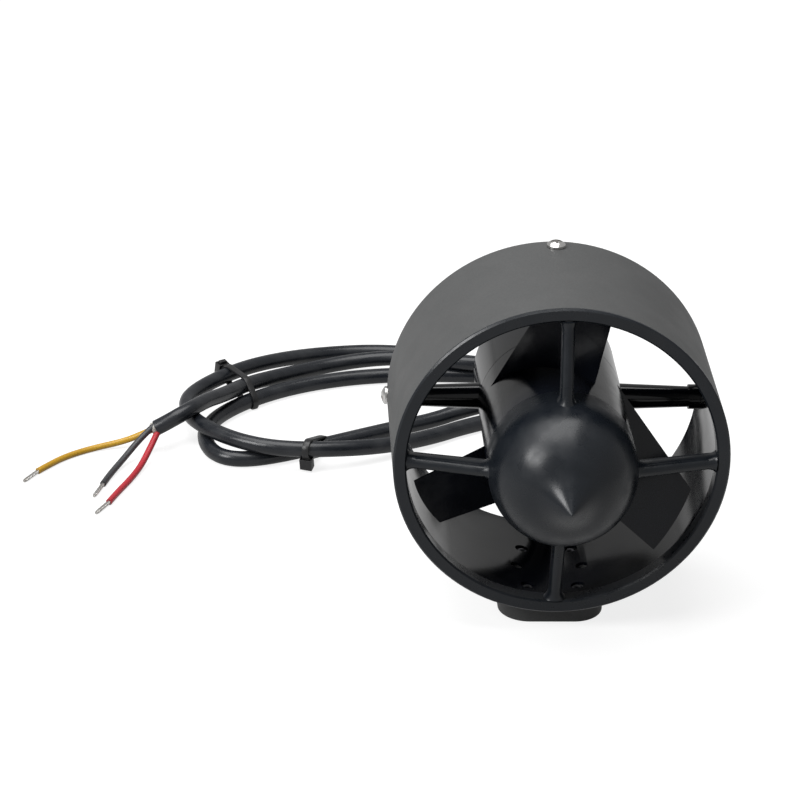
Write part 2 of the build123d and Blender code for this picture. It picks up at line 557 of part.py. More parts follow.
def blade_section(distance, lead, trail):
    """A lens-shaped section across the blade's span, between its two edges."""
    a = radians(BLADE_FIRST_ANGLE)
    place = (distance * cos(a), DUCT_Y, AXIS_Z + distance * sin(a))
    middle = ((lead[0] + trail[0]) / 2, (lead[1] + trail[1]) / 2)
    across, along = trail[0] - lead[0], trail[1] - lead[1]
    chord = sqrt(across ** 2 + along ** 2)
    normal = (-along / chord, across / chord)
    near = (middle[0] + normal[0] * (BLADE_CAMBER - BLADE_THICKNESS / 2),
            middle[1] + normal[1] * (BLADE_CAMBER - BLADE_THICKNESS / 2))
    far = (middle[0] + normal[0] * (BLADE_CAMBER + BLADE_THICKNESS / 2),
           middle[1] + normal[1] * (BLADE_CAMBER + BLADE_THICKNESS / 2))
    edge = (normal[0] * 0.5, normal[1] * 0.5)
    lead_far = (lead[0] + edge[0], lead[1] + edge[1])
    trail_far = (trail[0] + edge[0], trail[1] + edge[1])
    with BuildSketch(Plane(origin=place, x_dir=(-sin(a), 0, cos(a)), z_dir=(-cos(a), 0, -sin(a)))) as section:
        with BuildLine():
            ThreePointArc(lead, near, trail)
            Line(trail, trail_far)
            ThreePointArc(trail_far, far, lead_far)
            Line(lead_far, lead)
        make_face()
    return section.sketch


with BuildPart() as blade:
    low_section = blade_section(BLADE_LOW, ROOT_LEAD, ROOT_TRAIL)
    high_section = blade_section(BLADE_HIGH, TIP_LEAD, TIP_TRAIL)
    loft(sections=[low_section, high_section])
    turn = BLADE_FIRST_ANGLE - 90
    front_view = Plane(origin=(0, DUCT_Y + ROTOR_REAR, AXIS_Z), x_dir=(cos(radians(turn)), 0, sin(radians(turn))),
                       z_dir=(0, -1, 0))
    with BuildSketch(front_view):
        with BuildLine():
            Polyline((-0.5 * HUB_RADIUS, 0.3 * HUB_RADIUS), (-HUB_RADIUS, 0.3 * HUB_RADIUS),
                     (-0.5 * BLADE_TIP_RADIUS, 1.1 * BLADE_TIP_RADIUS),
                     (0.5 * BLADE_TIP_RADIUS, 1.1 * BLADE_TIP_RADIUS),
                     (0.5 * BLADE_TIP_RADIUS, 0.3 * HUB_RADIUS), close=True)
        make_face()
        Circle(BLADE_TIP_RADIUS, mode=Mode.INTERSECT)
    extrude(amount=ROTOR_REAR - ROTOR_FRONT, mode=Mode.INTERSECT)


with BuildPart() as propeller:
    with BuildSketch(profile_plane()):
        with BuildLine():
            Polyline((SHAFT_RADIUS + FIT, ROTOR_FRONT), (HUB_RADIUS, ROTOR_FRONT), (HUB_RADIUS, ROTOR_REAR),
                     (SHAFT_RADIUS + FIT, ROTOR_REAR), close=True)
        make_face()
    revolve(axis=SPIN_AXIS)
    for number in range(BLADE_COUNT):
        add(blade.part.rotate(SPIN_AXIS, -360 / BLADE_COUNT * number))
    turned_ring(0, HUB_RADIUS - HUB_WALL, ROTOR_FRONT + HUB_WALL, ROTOR_REAR + 1, mode=Mode.SUBTRACT)
    with BuildSketch(cross_plane(ROTOR_FRONT)):
        Circle(SHAFT_RADIUS + FIT)
        with PolarLocations(HUB_SCREW_CIRCLE, 4, start_angle=45):
            Circle(COVER_SCREW_RADIUS + 2 * SEAT_GAP)
    extrude(amount=-HUB_WALL, mode=Mode.SUBTRACT)
propeller.part.label = "propeller"
export_step(propeller.part, "parts/propeller.step")


with BuildPart() as propeller_screws:
    for corner in range(4):
        a = radians(45 + 90 * corner)
        place = (HUB_SCREW_CIRCLE * cos(a), DUCT_Y + ROTOR_FRONT, AXIS_Z + HUB_SCREW_CIRCLE * sin(a))
        add_screw(Plane(origin=place, x_dir=(1, 0, 0), z_dir=(0, -1, 0)), COVER_HEAD_RADIUS,
                  COVER_HEAD_HEIGHT, COVER_SCREW_RADIUS, HUB_WALL + BELL_FRONT_WALL)
propeller_screws.part.label = "propeller_screws"
export_step(propeller_screws.part, "parts/propeller_screws.step")


with BuildPart() as propeller_nut:
    with BuildSketch(cross_plane(ROTOR_FRONT)):
        RegularPolygon(NUT_ACROSS_FLATS / 2, 6, major_radius=False)
        Circle(SHAFT_RADIUS + FIT, mode=Mode.SUBTRACT)
    extrude(amount=NUT_HEIGHT)
propeller_nut.part.label = "propeller_nut"
export_step(propeller_nut.part, "parts/propeller_nut.step")


# Cable: a lead from the gland down to the floor and round the coil's right end
GLAND_EXIT_Y = DUCT_Y + gland_end
LEAD_ROUTE = [(0, GLAND_EXIT_Y, AXIS_Z), (1, 116, 78), (9, 140, 59), (24, 157, 34), (37, 173, 13),
              (44, 190, CABLE_RADIUS), (43, 207, CABLE_RADIUS), (34, 221.5, CABLE_RADIUS),
              (19, 230, CABLE_RADIUS), (2, 231.7, CABLE_RADIUS)]
TAIL_ROUTE = [(-125.4, 202.6, 7.5), (-141.5, 179, 12.3), (-157.4, 150.5, 17.8), (-174.2, 142.1, 11)]
YELLOW_ROUTE = [(-174.7, 143.7, 10.1), (-188.5, 143.6, 3.6), (-203.9, 138.7, CORE_RADIUS),
                (-218, 127.8, CORE_RADIUS), (-228.1, 115.4, CORE_RADIUS)]
BLACK_ROUTE = [(-174.8, 141.8, 12.7), (-183.5, 133.5, 7), (-190, 122, 2.6),
               (-194.8, 110.6, CORE_RADIUS), (-197.3, 102.4, CORE_RADIUS)]
RED_ROUTE = [(-173.2, 140.8, 10.1), (-177.4, 127.8, 4.6), (-181.5, 113.5, 1.9),
             (-187, 98, CORE_RADIUS), (-193.7, 84.3, CORE_RADIUS)]
TINNED_TIPS = [(-233.9, 106.1), (-200.9, 91.2), (-199.1, 74.4)]

COIL_OUTSIDE = [(36, 226), (-60, 252), (-98, 250), (-165, 190), (-165, 143), (-145, 117), (-98, 114),
                (-60, 131), (36, 190)]
COIL_INSIDE = [(10, 214), (-62, 214), (-105, 200), (-141, 178), (-141, 137), (-104, 137), (-62, 163), (10, 190)]
COIL_OUTSIDE_CORNER, COIL_INSIDE_CORNER = 26.0, 10.0

cable_lead = cord_tube("cable_lead", LEAD_ROUTE, CABLE_RADIUS)
cable_tail = cord_tube("cable_tail", TAIL_ROUTE, CABLE_RADIUS)
core_yellow = cord_tube("core_yellow", YELLOW_ROUTE, CORE_RADIUS)
core_black = cord_tube("core_black", BLACK_ROUTE, CORE_RADIUS)
core_red = cord_tube("core_red", RED_ROUTE, CORE_RADIUS)

with BuildPart() as tinned_ends:
    for route, tip in zip((YELLOW_ROUTE, BLACK_ROUTE, RED_ROUTE), TINNED_TIPS):
        end = Vector(route[-1])
        reach = Vector(tip[0], tip[1], TINNED_RADIUS) - end
        with BuildSketch(Plane(origin=end, z_dir=reach)):
            Circle(TINNED_RADIUS)
        extrude(amount=reach.length)
tinned_ends.part.label = "tinned_ends"
export_step(tinned_ends.part, "parts/tinned_ends.step")


# Coil: the outer shape of the turns as they lie, in one rounded band
with BuildPart() as cable_coil:
    with BuildSketch(Plane.XY) as coil_plan:
        with BuildLine():
            Polyline(*COIL_OUTSIDE, close=True)
        make_face()
        fillet(coil_plan.vertices(), radius=COIL_OUTSIDE_CORNER)
    extrude(amount=COIL_HEIGHT)
    fillet(cable_coil.edges().group_by(Axis.Z)[-1], radius=COIL_ROUND)
    with BuildSketch(Plane.XY) as coil_hole:
        with BuildLine():
            Polyline(*COIL_INSIDE, close=True)
        make_face()
        fillet(coil_hole.vertices(), radius=COIL_INSIDE_CORNER)
    extrude(amount=COIL_HEIGHT, mode=Mode.SUBTRACT)
cable_coil.part.label = "cable_coil"
export_step(cable_coil.part, "parts/cable_coil.step")


def make_tie(label, middle, across, span, height):
    """A cable tie: a strap round the band of the coil, with its square head on the outer side."""
    side = Plane(origin=(middle[0], middle[1], 0), x_dir=across, z_dir=Vector(across).cross(Vector(0, 0, 1)))
    with BuildPart() as tie:
        with BuildSketch(side):
            with Locations((0, height / 2)):
                Rectangle(span, height)
        extrude(amount=TIE_WIDTH / 2, both=True)
        with BuildSketch(side):
            with Locations((0, height / 2)):
                Rectangle(span - 2 * TIE_THICKNESS, height - 2 * TIE_THICKNESS)
        extrude(amount=TIE_WIDTH, both=True, mode=Mode.SUBTRACT)
        with BuildSketch(side):
            with Locations((span / 2 + TIE_THICKNESS, TIE_HEAD)):
                Rectangle(3 * TIE_THICKNESS, TIE_HEAD)
        extrude(amount=TIE_HEAD / 2, both=True)
    tie.part.label = label
    export_step(tie.part, f"parts/{label}.step")


# Each tie is a closed strap round the coil's band where it is narrow
make_tie("tie_back", (-135.2, 197), (-0.543, 0.84, 0), 30, COIL_HEIGHT + 2 * TIE_THICKNESS)
make_tie("tie_front", (-101, 125), (-0.1, -0.995, 0), 27, COIL_HEIGHT + 2 * TIE_THICKNESS)
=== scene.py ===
"""Ducted underwater thruster with its tied coil of three-core cable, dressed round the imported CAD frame."""

import json
import logging
import math
from dataclasses import dataclass
from enum import Enum
from typing import Callable, Iterable, Sequence, Union

import bpy
from mathutils import Matrix, Vector


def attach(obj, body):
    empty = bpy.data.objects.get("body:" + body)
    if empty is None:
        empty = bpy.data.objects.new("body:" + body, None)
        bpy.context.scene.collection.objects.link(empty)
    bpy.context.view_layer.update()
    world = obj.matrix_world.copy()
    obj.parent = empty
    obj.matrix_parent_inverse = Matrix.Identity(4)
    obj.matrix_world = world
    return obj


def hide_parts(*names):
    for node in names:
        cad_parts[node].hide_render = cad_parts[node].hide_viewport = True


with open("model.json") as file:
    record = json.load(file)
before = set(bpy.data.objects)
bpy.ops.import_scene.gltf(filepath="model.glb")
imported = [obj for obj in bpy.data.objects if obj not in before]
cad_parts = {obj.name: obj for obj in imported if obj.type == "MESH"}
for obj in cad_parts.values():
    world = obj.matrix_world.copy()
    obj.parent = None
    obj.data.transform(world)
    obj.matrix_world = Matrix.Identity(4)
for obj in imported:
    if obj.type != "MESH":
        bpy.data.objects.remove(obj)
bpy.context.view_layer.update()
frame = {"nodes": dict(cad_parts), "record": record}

MM = 0.001
AXIS = Vector((0.0, 6.5 * MM, 79.0 * MM))      # the middle of the duct, on its axis
Point = tuple[float, float, float]
Colour = tuple[float, float, float]
log = logging.getLogger("thruster")


class Body(Enum):
    """The two moving bodies of the part."""

    HOUSING = "housing"
    ROTOR = "rotor"


class Slot(Enum):
    """Material slots of the record that pieces made here take their finish from."""

    JACKET = "cable_jacket"
    YELLOW = "core_yellow"
    BLACK = "core_black"
    RED = "core_red"
    TINNED = "tinned_copper"
    TIE = "tie_nylon"
    FILLER = "bush_polymer"
    GUARD = "guard_plastic"


# ---------------------------------------------------------------- shader expressions

class Value:
    """A socket of a node tree that takes part in plain arithmetic."""

    def __init__(self, shader: "Shader", socket: bpy.types.NodeSocket) -> None:
        """Wraps a socket.

        Args:
            shader: the shader whose tree holds the socket.
            socket: the output socket.
        """
        self.shader = shader
        self.socket = socket

    def _math(self, operation: str, left: "Number", right: "Number" = 0.0) -> "Value":
        """Adds one Math node.

        Args:
            operation: the node's operation.
            left: first value.
            right: second value.

        Returns:
            The node's result.
        """
        return self.shader.node("ShaderNodeMath", {"operation": operation}, {0: left, 1: right})

    def __add__(self, other: "Number") -> "Value":
        """Sum of two values."""
        return self._math("ADD", self, other)

    __radd__ = __add__

    def __sub__(self, other: "Number") -> "Value":
        """This value less another."""
        return self._math("SUBTRACT", self, other)

    def __rsub__(self, other: "Number") -> "Value":
        """Another value less this one."""
        return self._math("SUBTRACT", other, self)

    def __mul__(self, other: "Number") -> "Value":
        """Product of two values."""
        return self._math("MULTIPLY", self, other)

    __rmul__ = __mul__

    def __gt__(self, other: "Number") -> "Value":
        """One where this value is the greater, else nought."""
        return self._math("GREATER_THAN", self, other)

    def __pow__(self, other: "Number") -> "Value":
        """This value raised to a power."""
        return self._math("POWER", self, other)

    def highest(self, other: "Number") -> "Value":
        """The greater of two values."""
        return self._math("MAXIMUM", self, other)


Number = Union[Value, float]


class Shader:
    """A material with one Principled shader, and short ways to add nodes to it."""

    def __init__(self, name: str) -> None:
        """Makes the material.

        Args:
            name: the material's name.
        """
        self.material = bpy.data.materials.new(name)
        self.material.use_nodes = True
        self.tree = self.material.node_tree
        self.principled = self.tree.nodes["Principled BSDF"]
        self.place = self.node("ShaderNodeTexCoord", {}, {}, "Object")

    def node(self, kind: str, settings: dict, sockets: dict, output: Union[int, str] = 0) -> Value:
        """Adds a node.

        Args:
            kind: the node's type.
            settings: its properties, set first.
            sockets: values or links of its input sockets, by name or number.
            output: name or number of the output that is wanted.

        Returns:
            That output.
        """
        made = self.tree.nodes.new(kind)
        for name, setting in settings.items():
            setattr(made, name, setting)
        for key, value in sockets.items():
            if isinstance(value, Value):
                self.tree.links.new(value.socket, made.inputs[key])
            else:
                made.inputs[key].default_value = value
        return Value(self, made.outputs[output])

    def stretched(self, scale: Sequence[float]) -> Value:
        """The place on the piece, scaled along each axis."""
        return self.node("ShaderNodeMapping", {}, {"Vector": self.place, "Scale": scale})

    def noise(self, size: float, detail: float = 2.0, place: Union[Value, None] = None) -> Value:
        """Cloudy noise.

        Args:
            size: size of its grains in metres.
            detail: octaves of finer grain.
            place: coordinates, or nothing for the piece's own.

        Returns:
            A value from 0 to 1.
        """
        return self.node("ShaderNodeTexNoise", {},
                         {"Vector": place or self.place, "Scale": 1.0 / size, "Detail": detail})

    def cells(self, size: float, place: Union[Value, None] = None) -> Value:
        """Distance to the nearest of scattered points, in a pattern of that size in metres."""
        return self.node("ShaderNodeTexVoronoi", {}, {"Vector": place or self.place, "Scale": 1.0 / size})

    def ridges(self, pitch: float, axis: str) -> Value:
        """Even ridges across one axis, with that pitch in metres."""
        waves_per_unit = 20.0
        return self.node("ShaderNodeTexWave", {"wave_type": "BANDS", "bands_direction": axis},
                         {"Vector": self.place, "Scale": math.tau / (waves_per_unit * pitch)})

    def ranged(self, value: Value, low: float, high: float, to_low: float, to_high: float) -> Value:
        """Moves a value from one range to another.

        Args:
            value: the value.
            low: its low end.
            high: its high end.
            to_low: the result at the low end.
            to_high: the result at the high end.

        Returns:
            The clamped result.
        """
        return self.node("ShaderNodeMapRange", {},
                         {"Value": value, "From Min": low, "From Max": high, "To Min": to_low, "To Max": to_high})

    def mixed(self, share: Value, first: Union[Colour, Value], second: Union[Colour, Value]) -> Value:
        """Blends two colours.

        Args:
            share: share of the second colour.
            first: colour at 0.
            second: colour at 1.

        Returns:
            The blended colour.
        """
        colours = [c if isinstance(c, Value) else (*c, 1.0) for c in (first, second)]
        return self.node("ShaderNodeMix", {"data_type": "RGBA"}, {0: share, 6: colours[0], 7: colours[1]}, 2)

    def bumped(self, height: Value, depth: float, strength: float = 1.0) -> Value:
        """A normal from a height.

        Args:
            height: height from 0 to 1.
            depth: depth of that range in metres.
            strength: share of the effect.

        Returns:
            The normal.
        """
        return self.node("ShaderNodeBump", {}, {"Height": height, "Distance": depth, "Strength": strength})

    def finish(self, fixed: dict, varying: dict) -> bpy.types.Material:
        """Sets the shader's own sockets and links what varies.

        Args:
            fixed: constants by socket name.
            varying: values by socket name.

        Returns:
            The material.
        """
        for name, value in fixed.items():
            self.principled.inputs[name].default_value = value
        for name, value in varying.items():
            self.tree.links.new(value.socket, self.principled.inputs[name])
        return self.material


# ---------------------------------------------------------------- finishes

@dataclass(frozen=True)
class MouldedPlastic:
    """Injection-moulded plastic: a fine grain, cloudy tone, and rubbed spots that shine a little."""

    name: str
    colour: Colour
    pale: Colour
    roughness: float
    roughness_spread: float = 0.08
    grain: float = 0.35 * MM
    grain_depth: float = 0.02 * MM
    specular: float = 0.5

    def make(self) -> bpy.types.Material:
        """Builds the material."""
        shader = Shader(self.name)
        clouds = shader.noise(22 * MM, 4.0)
        specks = shader.noise(1.2 * MM, 3.0)
        tone = shader.ranged(clouds * 0.7 + specks * 0.3, 0.36, 0.64, 0.0, 1.0)
        rubbed = shader.ranged(shader.noise(9 * MM, 5.0), 0.42, 0.66, 0.0, 1.0)
        rough = self.roughness + (rubbed - 0.5) * (2 * self.roughness_spread)
        grain = shader.noise(self.grain, 2.0) * 0.7 + shader.cells(2.6 * self.grain) * 0.3
        return shader.finish(
            {"Specular IOR Level": self.specular},
            {"Base Color": shader.mixed(tone, self.colour, self.pale), "Roughness": rough,
             "Normal": shader.bumped(grain, self.grain_depth)})


@dataclass(frozen=True)
class DuctPlastic:
    """The duct's plastic: evenly matte outside, and polished in the water passage, whose near-black colour is
    painted shade.
    """

    name: str
    outside: Colour
    pale: Colour
    # painted shade: colour of the water passage inside the bore, made near-black for the shade in the duct
    inside: Colour
    matte: float
    polish: float
    bore: float             # distance from the axis at which the finish changes

    def make(self) -> bpy.types.Material:
        """Builds the material."""
        shader = Shader(self.name)
        across = shader.node("ShaderNodeSeparateXYZ", {}, {0: shader.place}, "X")
        up = shader.node("ShaderNodeSeparateXYZ", {}, {0: shader.place}, "Z") - AXIS.z
        outer = ((across * across + up * up) ** 0.5) > self.bore
        clouds = shader.noise(14 * MM, 5.0)
        specks = shader.noise(0.9 * MM, 3.0)
        tone = shader.ranged(clouds * 0.35 + specks * 0.65, 0.35, 0.65, 0.0, 1.0)
        smudge = shader.ranged(shader.noise(16 * MM, 3.0), 0.4, 0.62, 0.0, 1.0)
        rough = outer * (self.matte - self.polish) + self.polish + smudge * 0.05
        grain = shader.noise(0.45 * MM, 2.0) * (outer * 0.9 + 0.1)
        # painted shade: inside the bore the base colour turns to the near-black inside colour; the polish there
        # is real
        return shader.finish(
            {"Specular IOR Level": 0.4},
            {"Base Color": shader.mixed(outer, self.inside, shader.mixed(tone, self.outside, self.pale)),
             "Roughness": rough, "Normal": shader.bumped(grain, 0.03 * MM)})


@dataclass(frozen=True)
class JacketPlastic:
    """Soft satin cable jacket with dusty streaks and fine pits."""

    name: str
    colour: Colour
    dusty: Colour
    roughness: float

    def make(self) -> bpy.types.Material:
        """Builds the material."""
        shader = Shader(self.name)
        streaks = shader.noise(6 * MM, 5.0, shader.stretched((0.35, 1.0, 1.0)))
        dust = shader.ranged(streaks, 0.45, 0.75, 0.0, 1.0)
        pits = shader.noise(0.5 * MM, 3.0)
        waves = shader.noise(4.5 * MM, 2.0)
        rough = self.roughness + (streaks - 0.5) * 0.25
        return shader.finish(
            {"Specular IOR Level": 0.45},
            {"Base Color": shader.mixed(dust, self.colour, self.dusty), "Roughness": rough,
             "Normal": shader.bumped(pits * 0.25 + waves * 0.75, 0.09 * MM, 0.8)})


@dataclass(frozen=True)
class Metal:
    """Bare or plated metal with fine scratches and a cloudy film."""

    name: str
    colour: Colour
    film: Colour
    roughness: float
    scratch: Colour = (1.0, 1.0, 12.0)
    scratch_depth: float = 0.004 * MM

    def make(self) -> bpy.types.Material:
        """Builds the material."""
        shader = Shader(self.name)
        clouds = shader.ranged(shader.noise(5 * MM, 4.0), 0.38, 0.66, 0.0, 1.0)
        lines = shader.noise(1.5 * MM, 4.0, shader.stretched(self.scratch))
        rough = self.roughness + (lines - 0.5) * 0.12 + clouds * 0.05
        return shader.finish(
            {"Metallic": 1.0},
            {"Base Color": shader.mixed(clouds, self.colour, self.film), "Roughness": rough,
             "Normal": shader.bumped(lines, self.scratch_depth)})


@dataclass(frozen=True)
class RidgedMetal:
    """Metal built of fine layers, such as stacked sheets or wound wire."""

    name: str
    colour: Colour
    groove: Colour
    roughness: float
    pitch: float
    axis: str
    depth: float

    def make(self) -> bpy.types.Material:
        """Builds the material."""
        shader = Shader(self.name)
        layers = shader.ridges(self.pitch, self.axis)
        clouds = shader.noise(3 * MM, 3.0)
        rough = self.roughness + (clouds - 0.5) * 0.2
        return shader.finish(
            {"Metallic": 0.9},
            {"Base Color": shader.mixed(layers, self.groove, self.colour), "Roughness": rough,
             "Normal": shader.bumped(layers, self.depth)})


@dataclass(frozen=True)
class FibreFiller:
    """Pale chalky filler between the cores of a cut cable."""

    name: str
    colour: Colour
    shade: Colour

    def make(self) -> bpy.types.Material:
        """Builds the material."""
        shader = Shader(self.name)
        tufts = shader.noise(0.8 * MM, 5.0)
        return shader.finish(
            {"Specular IOR Level": 0.2, "Roughness": 0.9},
            {"Base Color": shader.mixed(shader.ranged(tufts, 0.35, 0.65, 0.0, 1.0), self.shade, self.colour),
             "Normal": shader.bumped(tufts, 0.3 * MM)})


Finish = Union[MouldedPlastic, DuctPlastic, JacketPlastic, Metal, RidgedMetal, FibreFiller]

FINISHES: dict[str, Finish] = {
    # housing_plastic's third colour is painted shade for the inside of the duct's water passage
    "housing_plastic": DuctPlastic("housing_plastic", (0.070, 0.072, 0.072), (0.086, 0.087, 0.087),
                                   (0.004, 0.005, 0.008), 0.5, 0.1, 66.8 * MM),
    "guard_plastic": MouldedPlastic("guard_plastic", (0.0075, 0.0100, 0.0140), (0.0115, 0.0140, 0.0180), 0.34,
                                    grain=0.4 * MM, grain_depth=0.02 * MM, specular=0.38),
    "gloss_black": MouldedPlastic("gloss_black", (0.003, 0.004, 0.007), (0.005, 0.006, 0.009), 0.12,
                                  roughness_spread=0.03, grain=0.8 * MM, grain_depth=0.004 * MM, specular=0.4),
    "propeller_plastic": MouldedPlastic("propeller_plastic", (0.006, 0.008, 0.013), (0.009, 0.011, 0.017), 0.2,
                                        roughness_spread=0.04, grain=0.8 * MM, grain_depth=0.006 * MM,
                                        specular=0.4),
    "gland_nylon": MouldedPlastic("gland_nylon", (0.016, 0.016, 0.018), (0.024, 0.024, 0.026), 0.45),
    "tie_nylon": MouldedPlastic("tie_nylon", (0.007, 0.007, 0.008), (0.013, 0.013, 0.014), 0.38,
                                grain=0.25 * MM, grain_depth=0.015 * MM),
    "seal_rubber": MouldedPlastic("seal_rubber", (0.014, 0.014, 0.015), (0.024, 0.024, 0.025), 0.7),
    "bush_polymer": MouldedPlastic("bush_polymer", (0.72, 0.71, 0.66), (0.8, 0.79, 0.75), 0.45),
    "core_yellow": MouldedPlastic("core_yellow", (0.50, 0.27, 0.012), (0.62, 0.36, 0.03), 0.4,
                                  grain=0.5 * MM, grain_depth=0.02 * MM),
    "core_black": MouldedPlastic("core_black", (0.030, 0.031, 0.034), (0.055, 0.056, 0.06), 0.42,
                                 grain=0.5 * MM, grain_depth=0.02 * MM),
    "core_red": MouldedPlastic("core_red", (0.42, 0.014, 0.026), (0.52, 0.03, 0.045), 0.4,
                               grain=0.5 * MM, grain_depth=0.02 * MM),
    "cable_jacket": JacketPlastic("cable_jacket", (0.010, 0.012, 0.016), (0.028, 0.030, 0.034), 0.28),
    "stainless": Metal("stainless", (0.74, 0.73, 0.71), (0.62, 0.61, 0.6), 0.18),
    "tube_aluminium": Metal("tube_aluminium", (0.8, 0.81, 0.82), (0.7, 0.71, 0.72), 0.3),
    "rotor_steel": Metal("rotor_steel", (0.45, 0.46, 0.48), (0.36, 0.37, 0.39), 0.35),
    "magnet_coating": Metal("magnet_coating", (0.42, 0.42, 0.44), (0.34, 0.34, 0.36), 0.28),
    "tinned_copper": Metal("tinned_copper", (0.66, 0.65, 0.63), (0.42, 0.40, 0.37), 0.3,
                           scratch_depth=0.03 * MM),
    "stator_steel": RidgedMetal("stator_steel", (0.33, 0.34, 0.36), (0.12, 0.12, 0.13), 0.42, 0.5 * MM, "Y",
                                0.05 * MM),
    "winding_copper": RidgedMetal("winding_copper", (0.72, 0.3, 0.12), (0.3, 0.1, 0.04), 0.32, 0.8 * MM, "X",
                                  0.2 * MM),
}


class Wardrobe:
    """Builds every finish once and puts it on the pieces."""

    def __init__(self) -> None:
        """Builds the materials of the record's slots, the foot screws' painted-shade steel and the filler's."""
        self.materials = {slot: finish.make() for slot, finish in FINISHES.items()}
        # painted shade: a near-black steel for the foot's screws, standing for the shade of their recesses in the
        # duct wall
        self.painted_shade_steel = Metal("screw_painted_shade_steel", (0.10, 0.10, 0.11), (0.05, 0.05, 0.055), 0.3).make()
        self.filler = FibreFiller("cable_filler", (0.62, 0.60, 0.55), (0.30, 0.29, 0.27)).make()

    def dress(self, piece: bpy.types.Object, material: bpy.types.Material) -> None:
        """Gives a piece one material all over.

        Args:
            piece: the piece.
            material: its material.
        """
        if not piece.material_slots:
            piece.data.materials.append(material)
        for slot in piece.material_slots:
            slot.material = material

    def dress_frame(self) -> None:
        """Dresses every CAD node in the finish of its slot, but the foot's screws in a near-black steel that is
        painted shade for their recesses.
        """
        for row in frame["record"]["subparts"]:
            # painted shade: the foot's screws are made near-black for their shaded recesses
            painted_shade_screws = row["node"] == "foot_screws"
            self.dress(frame["nodes"][row["node"]],
                       self.painted_shade_steel if painted_shade_screws else self.materials[row["material_slot"]])
            log.info("dressed %s in %s", row["node"], row["material_slot"])


# ---------------------------------------------------------------- modelling helpers

def deselect() -> None:
    """Leaves edit mode, deselects everything and goes back to picking vertices."""
    if bpy.context.object and bpy.context.object.mode != "OBJECT":
        bpy.ops.object.mode_set(mode="OBJECT")
    bpy.context.tool_settings.mesh_select_mode = (True, False, False)
    bpy.ops.object.select_all(action="DESELECT")


def select_only(piece: bpy.types.Object) -> None:
    """Makes one piece the only selected and the active one."""
    deselect()
    piece.select_set(True)
    bpy.context.view_layer.objects.active = piece


def pick_vertices(piece: bpy.types.Object, wanted: Callable[[Vector], bool]) -> None:
    """Selects the vertices of a mesh in edit mode by their place.

    Args:
        piece: the mesh object, which is in edit mode.
        wanted: says for a vertex's place whether it is selected.
    """
    bpy.ops.object.mode_set(mode="OBJECT")
    for polygon in piece.data.polygons:
        polygon.select = False
    for edge in piece.data.edges:
        edge.select = False
    for vertex in piece.data.vertices:
        vertex.select = wanted(vertex.co)
    bpy.ops.object.mode_set(mode="EDIT")


def settle(piece: bpy.types.Object, place: Matrix, name: str) -> bpy.types.Object:
    """Closes the modelling of a piece: its place goes into its mesh, and its faces point outwards.

    Args:
        piece: the piece, modelled about the origin.
        place: where it goes.
        name: its name.

    Returns:
        The piece.
    """
    select_only(piece)
    piece.name = name
    piece.matrix_world = place
    bpy.ops.object.transform_apply(location=True, rotation=True, scale=True)
    bpy.ops.object.mode_set(mode="EDIT")
    bpy.ops.mesh.select_all(action="SELECT")
    bpy.ops.mesh.remove_doubles(threshold=0.01 * MM)
    bpy.ops.mesh.delete_loose(use_verts=True, use_edges=True, use_faces=False)
    bpy.ops.mesh.normals_make_consistent(inside=False)
    bpy.ops.object.mode_set(mode="OBJECT")
    return piece


def smooth(piece: bpy.types.Object, angle: float = 35.0) -> None:
    """Shades a piece smooth up to an angle in degrees."""
    select_only(piece)
    bpy.ops.object.shade_smooth_by_angle(angle=math.radians(angle))


def lathe(outline: Sequence[tuple[float, float]], name: str, steps: int = 96) -> bpy.types.Object:
    """Spins a closed outline about the duct's axis.

    Args:
        outline: radius and axial place of each corner in millimetres.
        name: the piece's name.
        steps: steps of the spin.

    Returns:
        The piece.
    """
    deselect()
    bpy.ops.mesh.primitive_circle_add(vertices=len(outline), radius=MM, location=(0, 0, 0))
    piece = bpy.context.object
    for vertex, (radius, axial) in zip(piece.data.vertices, outline):
        vertex.co = Vector((radius, axial, 0)) * MM
    bpy.ops.object.mode_set(mode="EDIT")
    bpy.ops.mesh.select_all(action="SELECT")
    bpy.ops.mesh.spin(steps=steps, angle=math.tau, center=(0, 0, 0), axis=(0, 1, 0))
    bpy.ops.object.mode_set(mode="OBJECT")
    return settle(piece, Matrix.Translation(AXIS), name)


def along(start: Vector, direction: Vector) -> Matrix:
    """A place whose Z axis runs along a direction.

    Args:
        start: its origin.
        direction: the direction of Z.

    Returns:
        The matrix.
    """
    return Matrix.Translation(start) @ direction.to_track_quat("Z", "Y").to_matrix().to_4x4()


def metres(points: Iterable[Point]) -> list[Vector]:
    """Points given in millimetres, in metres."""
    return [Vector(p) * MM for p in points]


def nurbs_cord(name: str, points: Sequence[Vector], radius: float) -> bpy.types.Object:
    """A round cord on one smooth open spline.

    Args:
        name: the piece's name.
        points: control points in the row frame.
        radius: the cord's radius.

    Returns:
        The curve object.
    """
    curve = bpy.data.curves.new(name, "CURVE")
    curve.dimensions = "3D"
    curve.resolution_u = 10
    curve.bevel_depth = radius
    curve.bevel_resolution = 6
    curve.use_fill_caps = True
    spline = curve.splines.new("NURBS")
    spline.points.add(len(points) - 1)
    for spot, point in zip(spline.points, points):
        spot.co = (*point, 1.0)
    spline.order_u = 3
    spline.use_endpoint_u = True
    cord = bpy.data.objects.new(name, curve)
    bpy.context.collection.objects.link(cord)
    return cord


